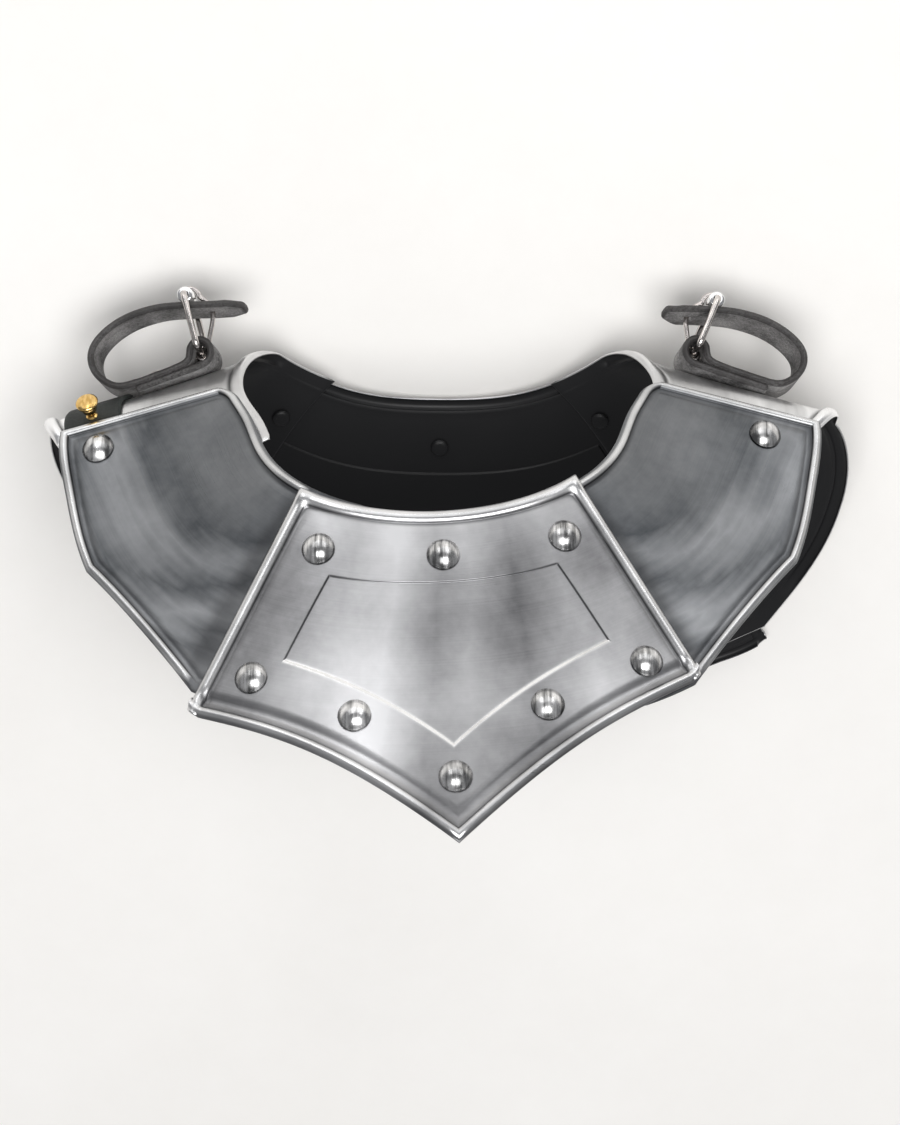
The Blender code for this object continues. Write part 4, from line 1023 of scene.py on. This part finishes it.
buckle = {
    "wire": 0.0014, "bar": (0.0159, 0.0093), "roller": 0.0034, "sideGap": 0.0012, "corner": 0.0034,
    "cornerSteps": 7, "rollerRim": 0.0004, "rollerSides": 32, "wireSides": 16,
    "prong": 0.0011, "prongBow": 0.0045, "prongSwell": 1.6, "prongSpans": 14,
    "round": (480, 179, -15), "over": (190, 74, -8),  # degrees, round the bar and over the roller
    "prongTip": 0.72, "tipPoints": 12,
}
upperRun = (  # from the turn back to the free end, in shares of the reach and the rise
    (0.872, 0.177), (0.957, 0.310), (1.000, 0.490), (0.990, 0.680), (0.925, 0.830),
    (0.800, 0.945), (0.640, 1.000), (0.440, 0.975), (0.230, 0.865), (0.080, 0.770))
strapFold = (  # round the bar, in shares of the wrap
    (-0.55, -2.30), (-1.35, -1.55), (-1.62, -0.55), (-1.40, 0.45), (-0.65, 1.15), (0.30, 1.10),
    (1.10, 0.50), (1.50, -0.35), (1.95, -1.05), (2.90, -1.45))
frameHalf = strapSizes["width"] / 2 + buckle["sideGap"] + buckle["wire"]


def roundPoint(centre, radius, angle):
    angle = math.radians(angle)
    return np.asarray(centre) + radius * np.array([math.cos(angle), math.sin(angle)])


def strapRoute(sizes):
    thick, bar, rivetAt = strapSizes["thick"], np.array(buckle["bar"]), strapSizes["rivet"]
    low = strapSizes["gap"] + thick / 2
    upper = low + thick + sheet["clear"]
    wrap = buckle["wire"] + sheet["clear"] + thick / 2
    fold = [bar + (wrap * across, wrap * high) for across, high in strapFold]
    inner, outer = rivetAt - strapSizes["flat"], rivetAt + strapSizes["flat"]
    middle = (sizes["tail"] + bar[0]) / 2
    points = [(sizes["tail"], low), (middle, low), (bar[0] + wrap, low)] + fold
    points += [(inner, upper), (rivetAt, upper), (outer, upper)]
    points += [(along * strapSizes["reach"], rise * sizes["rise"]) for along, rise in upperRun]
    last = points[-1]
    return points + [(sizes["freeEnd"], last[1] - sizes["endSlope"] * (last[0] - sizes["freeEnd"]))]


class StrapPlace:  # a strap's own ways on one shoulder: along it, up from the plate and across
    def __init__(self, side):
        self.side, self.sizes, self.crest = side, strapSizes[side], np.array(station["crest"])
        self.rivetAt = np.array(self.sizes["outset"] + strapSizes["rivet"])
        self.along, self.up = unit(ring(self.crest)[3:]), outward(self.crest, self.rivetAt)
        self.across = np.cross(self.up, self.along)
        self.origin = surface(self.crest, self.sizes["outset"]) + self.up * level["backSide"]

    def worn(self, points, aside=0.0):
        points = np.asarray(points, float)
        place = self.origin + points[..., :1] * self.along + points[..., 1:2] * self.up
        return laid(place + np.asarray(aside, float)[..., None] * self.across, self.side)


def rollerCentre(sizes, path, way):  # over the run that comes back, clear of the leather
    back = np.flatnonzero((path[:, 1] > strapSizes["upperShare"] * sizes["rise"]) & (way[:, 0] < 0))
    off = strapSizes["thick"] / 2 + sheet["clear"] + buckle["roller"]
    line = path[back] + off * np.stack([way[back, 1], -way[back, 0]], axis=1)
    return np.array([sizes["roller"], np.interp(-sizes["roller"], -line[:, 0], line[:, 1])])


def prongRoute(bar, roller):  # its turn round the bar, and its shaft up to the roller and over it
    wrapRadius = buckle["wire"] + sheet["clear"] + buckle["prong"]
    overRadius = buckle["roller"] + sheet["clear"] + buckle["prong"]
    roundBar = [roundPoint(bar, wrapRadius, angle) for angle in range(*buckle["round"])]
    overRoller = [roundPoint(roller, overRadius, angle) for angle in range(*buckle["over"])]
    rising = []
    for t in np.linspace(0, 1, buckle["prongSpans"] + 1)[1:-1]:
        bow = buckle["prongBow"] * math.sin(math.pi * t ** buckle["prongSwell"])
        rising.append(roundBar[-1] + (overRoller[0] - roundBar[-1]) * t - (bow, 0.0))
    return np.array(roundBar), np.array(rising + overRoller)


def strapLanes():  # lines along the strap, with one on each edge of the prong's slot
    lanes, slotEdge = np.array(strapSizes["lanes"]), strapSizes["slot"] / 2
    lanes = np.concatenate([lanes, -lanes[-2::-1]]) * strapSizes["width"]
    for lane in (-slotEdge, slotEdge):
        lanes[np.argmin(np.abs(lanes - lane))] = lane
    return lanes


def slotCells(sizes, path, lanes, bar, shaft):  # round the bar, and where the shaft comes through
    thick, spans = strapSizes["thick"], 0.5 * (path[:-1] + path[1:])
    slotReach = buckle["wire"] + 2 * buckle["prong"] + thick + sheet["clear"]
    nearBar = (np.linalg.norm(spans - bar, axis=1) < slotReach) & (spans[:, 1] > thick)
    toShaft = np.linalg.norm(spans[:, None] - shaft, axis=2).min(axis=1)
    crossing = toShaft < thick / 2 + buckle["prong"] + sheet["clear"]
    crossing &= spans[:, 1] > strapSizes["topShare"] * sizes["rise"]
    inSlot = np.flatnonzero(np.abs(0.5 * (lanes[:-1] + lanes[1:])) < strapSizes["slot"] / 2)
    return [(i, j) for i in np.flatnonzero(nearBar | crossing) for j in inSlot]


def strapLeather(place, path, way, bar, shaft):
    square = np.stack([-way[:, 1], way[:, 0]], axis=1)
    run = np.concatenate([[0], np.cumsum(np.linalg.norm(np.diff(path, axis=0), axis=1))])
    lanes, halfWidth, edgeRound = strapLanes(), strapSizes["width"] / 2, strapSizes["edgeRound"]
    endShare = np.clip((run - (run[-1] - strapSizes["endCut"])) / strapSizes["endCut"], 0, 1)
    aside = lanes[None, :] * (1 - strapSizes["endNarrow"] * endShare)[:, None]
    edgeShare = np.clip((np.abs(lanes) - (halfWidth - edgeRound)) / edgeRound, 0, 1)
    half = 0.5 * strapSizes["skin"] * arc(strapSizes["edgeThin"] * edgeShare)
    lift = square[:, None, :] * half[None, :, None]
    outer, inner = (place.worn(path[:, None, :] + sign * lift, aside) for sign in (1, -1))
    wearFrom, wearOver = strapSizes["edgeWear"]
    wear = np.tile(np.clip((np.abs(lanes) / halfWidth - wearFrom) / wearOver, 0, 1), (len(path), 1))
    wear[-1] = 1.0
    cells = slotCells(place.sizes, path, lanes, bar, shaft)
    return rightSideOut(shellPiece(f"{place.side}Strap", outer, inner, [finish["strapLeather"]],
                                   attributes={"wear": wear}, openCells=cells))


def strapRivet(place):
    layers = 2 * strapSizes["thick"] + sheet["clear"] + strapSizes["gap"]
    foot = laid(lifted(place.crest, place.rivetAt, level["backSide"] + layers), place.side)
    radius, rim, deep = strapSizes["headRadius"], strapSizes["headRim"], -(layers + sheet["thick"] + endGap)
    profile = [(r, z + 2 * rim) for r, z in dome(radius, strapSizes["headHeight"] - rim,
                                                 strapSizes["headSteps"])]
    profile += [(radius - rim, rim), (shank, rim), (shank, deep), (endWide, deep),
                (strapSizes["endTaper"] * endWide, deep - endTop), (0, deep - endTop)]
    return setOnPoints(f"{place.side}StrapRivet", [(foot, laidWay(place.up, place.side))], profile,
                       strapSizes["headSides"], finish["nickel"])


def buckleFrame(place, bar, roller):
    corners = ((bar, -frameHalf), (bar, frameHalf), (roller, frameHalf), (roller, -frameHalf))
    corners = [place.worn(*corner) for corner in corners]
    loop = []
    for k, here in enumerate(corners):
        first = here + unit(corners[k - 1] - here) * buckle["corner"]
        last = here + unit(corners[(k + 1) % 4] - here) * buckle["corner"]
        steps = np.linspace(0, 1, buckle["cornerSteps"])
        loop += [(1 - t) ** 2 * first + 2 * t * (1 - t) * here + t**2 * last for t in steps]
    square = unit(np.cross(corners[2] - corners[0], corners[1] - corners[0]))
    return tubePiece(f"{place.side}BuckleFrame", loop, buckle["wire"], buckle["wireSides"], square, True,
                     finish["nickel"])


def buckleRoller(place, roller, across):
    inner, outer, rim = buckle["wire"] + sheet["clear"], buckle["roller"], buckle["rollerRim"]
    long = frameHalf - buckle["corner"] - sheet["clear"]
    profile = [(inner, long), (outer - rim, long), (outer, long - rim), (outer, -long + rim),
               (outer - rim, -long), (inner, -long), (inner, long)]
    return setOnPoints(f"{place.side}Roller", [(place.worn(roller), across)], profile,
                       buckle["rollerSides"], finish["chrome"])


def buckleProng(place, route, across):
    thinner = np.linspace(1, buckle["prongTip"], buckle["tipPoints"])
    taper = np.concatenate([np.ones(len(route) - len(thinner)), thinner])
    return tubePiece(f"{place.side}Prong", place.worn(route), buckle["prong"] * taper, buckle["wireSides"],
                     across, False, finish["nickel"])


def strapAndBuckle(side):
    place = StrapPlace(side)
    path = smoothPath(strapRoute(place.sizes), strapSizes["spans"])
    way = unit(np.gradient(path, axis=0))
    bar, roller = np.array(buckle["bar"]), rollerCentre(place.sizes, path, way)
    roundBar, shaft = prongRoute(bar, roller)
    across = laidWay(place.across, side)
    leather = strapLeather(place, path, way, bar, shaft)
    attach(leather, "root")
    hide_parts(f"{side}_strap")
    metals = {"strap_rivet": strapRivet(place), "buckle_frame": buckleFrame(place, bar, roller),
              "roller": buckleRoller(place, roller, across),
              "prong": buckleProng(place, np.concatenate([roundBar, shaft]), across)}
    for node, piece in metals.items():
        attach(piece, "root")
        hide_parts(f"{side}_{node}")


for side in sideSign:
    strapAndBuckle(side)
print("straps and buckles made")


# Closing tab and its stud

tab = {"width": 0.0235, "middle": 0.0605, "under": 0.0235, "over": 0.0245,
       "edgeRound": 0.0006, "edgeLines": 3, "edgeThin": 0.8, "edgeWear": 0.0012,
       "stud": 0.0180, "studRadius": 0.0048, "studHeight": 0.0092, "studSides": 40}
studShape = (  # shares of its radius and height, from the top down
    (0, 1.0), (0.45, 0.99), (0.80, 0.96), (0.97, 0.91), (1.0, 0.87), (0.97, 0.83), (0.88, 0.80),
    (0.82, 0.70), (0.84, 0.66), (0.74, 0.56), (0.62, 0.43), (0.64, 0.39), (0.52, 0.28), (0.40, 0.15),
    (0.36, 0.06), (0.50, 0.0),
)


def closingTab():
    seam = station["seam"]
    plate = Plate(lambda r: seam - tab["under"] / stretch(seam + 0 * r, r),
                  lambda r: seam + tab["over"] / stretch(seam + 0 * r, r),
                  constant(tab["middle"] - tab["width"] / 2), constant(tab["middle"] + tab["width"] / 2))
    a, b, top, low = plate.fromA, plate.fromB, plate.fromNeck, plate.fromLower
    rounds = np.linspace(0, tab["edgeRound"], tab["edgeLines"] + 1)
    columns = [a(0)] + between(a(0), b(rounds[-1]), gridLines["tab"]) + [b(d) for d in rounds[::-1]]
    rows = [top(d) for d in rounds] + between(top(rounds[-1]), low(rounds[-1]), gridLines["tabRows"])
    s, r = plate.grid(columns, rows + [low(d) for d in rounds[::-1]])
    d = plate.distances(s, r)
    rim = np.minimum(np.minimum(d["neck"], d["lower"]), d["sideB"])
    share = np.clip(1 - rim / tab["edgeRound"], 0, 1)
    half = 0.5 * sheet["tab"] * arc(tab["edgeThin"] * share)
    middle = level["frontSide"] - sheet["thick"] - sheet["clear"] - 0.5 * sheet["tab"]
    outer, inner = (laid(plate.point(s, r, middle + sign * half), "left") for sign in (1, -1))
    wear = np.clip(1 - rim / tab["edgeWear"], 0, 1)
    leather = rightSideOut(shellPiece("closingTab", outer, inner, [finish["tabLeather"]],
                                      attributes={"wear": wear}))
    spot = plate.cross(a(tab["under"] + tab["stud"]), constant(tab["middle"]))
    up = laidWay(plate.normal(*spot), "left")
    foot = laid(plate.point(*spot, level["frontSide"] - sheet["thick"] - sheet["clear"]), "left")
    radius, high, gap = tab["studRadius"], tab["studHeight"], sheet["clear"]
    profile = [(radius * wide, gap + high * tall) for wide, tall in studShape]
    deep = -(sheet["tab"] + 2 * sheet["clear"] + sheet["thick"])
    profile += [(shank, gap), (shank, deep), (endWide, deep), (endWide, deep - endTop), (0, deep - endTop)]
    stud = setOnPoints("tabStud", [(foot, up)], profile, tab["studSides"], finish["brass"])

    for piece, node, slot in ((leather, "closure_tab", "tab_leather"), (stud, "tab_stud", "brass")):
        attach(piece, "root")
        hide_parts(node)


closingTab()
print("closing tab made")


# Floor, light and camera

view = {"elevation": 12.0, "roll": 0.75, "distance": 1.8, "target": (0.0034, 0.0, -0.069),
        "focalPixels": 4285.7, "imageHeight": 1125, "sensorHeight": 36.0, "farthest": 20.0}


def cameraAxes():
    tilt, lean = math.radians(view["elevation"]), math.radians(view["roll"])
    right = np.array([1.0, 0.0, 0.0])
    up = np.array([0.0, math.sin(tilt), math.cos(tilt)])
    back = np.array([0.0, -math.cos(tilt), math.sin(tilt)])
    return right * math.cos(lean) - up * math.sin(lean), right * math.sin(lean) + up * math.cos(lean), back


rightWay, upWay, backWay = (laidWay(way) for way in cameraAxes())
targetPoint = laid(view["target"])


def fromTarget(right, up, back):
    return targetPoint + right * rightWay + up * upWay + back * backWay


def camera():
    data = bpy.data.cameras.new("camera")
    data.sensor_fit, data.sensor_height = "VERTICAL", view["sensorHeight"]
    data.lens = view["sensorHeight"] * view["focalPixels"] / view["imageHeight"]
    data.clip_end = view["farthest"]
    thing = inScene("camera", data)
    matrix = Matrix.Identity(4)
    for column, way in enumerate((rightWay, upWay, backWay, fromTarget(0, 0, view["distance"]))):
        for row in range(3):
            matrix[row][column] = float(way[row])
    thing.matrix_world = matrix
    bpy.context.scene.camera = thing


lights = {  # right, up and back from the gorget, in metres; width and height; watts
    "front": {"at": (0.15, -0.55, 2.3), "size": (1.9, 1.3), "power": 54},
    "overhead": {"at": (0.0, 1.75, 1.20), "size": (3.6, 1.5), "power": 15},
    "top": {"at": (0.0, 2.3, 0.25), "size": (3.2, 1.5), "power": 20},
    "stripLeft": {"at": (-0.55, 1.05, 0.95), "size": (0.16, 0.9), "power": 1.3},
    "stripRight": {"at": (0.75, 0.95, 0.90), "size": (0.12, 0.9), "power": 0.9},
}


def lamp(name, at, size, power):
    data = bpy.data.lights.new(name, "AREA")
    data.shape, data.size, data.size_y, data.energy = "RECTANGLE", size[0], size[1], power
    spot = Vector(fromTarget(*at))
    way = (Vector(targetPoint) - spot).normalized()
    aside = Vector(rightWay) - way * way.dot(Vector(rightWay))
    aside.normalize()
    matrix = Matrix((aside, (-way).cross(aside), -way)).transposed().to_4x4()
    matrix.translation = spot
    inScene(name, data).matrix_world = matrix


room = {"size": 3.0, "dark": (0.85, 0.83, 0.80, 1), "light": (0.91, 0.895, 0.87, 1),
        "clouds": (3.0, 4.0, 0.6), "grain": (60.0, 4.0, 0.7), "cloudShare": 0.8, "toneFrom": (0.3, 0.7),
        "roughness": 0.85, "shine": 0.15, "air": (0.96, 0.97, 1.0, 1), "glow": 0.28}


def floorAndRoom():
    look = Finish("parchment", {"Roughness": room["roughness"], "Specular IOR Level": room["shine"]})
    clouds, grain = (look.noise(look.place(), *room[key]) for key in ("clouds", "grain"))
    tone = look.range(look.blend(clouds, grain, room["cloudShare"]), *room["toneFrom"])
    look.feed("Base Color", look.mix(tone, room["dark"], room["light"]))
    size = room["size"]
    floor = meshPiece("floor", [(-size, -size, 0), (size, -size, 0), (size, size, 0), (-size, size, 0)],
                      [(0, 1, 2, 3)], [look.material])
    world = bpy.data.worlds.new("room")
    world.use_nodes = True
    air = world.node_tree.nodes["Background"].inputs
    air["Color"].default_value, air["Strength"].default_value = room["air"], room["glow"]
    bpy.context.scene.world = world
    bpy.context.scene.view_settings.view_transform = "Standard"


camera()
for name, lampSizes in lights.items():
    lamp(name, **lampSizes)
floorAndRoom()
print("floor, lights and camera set")
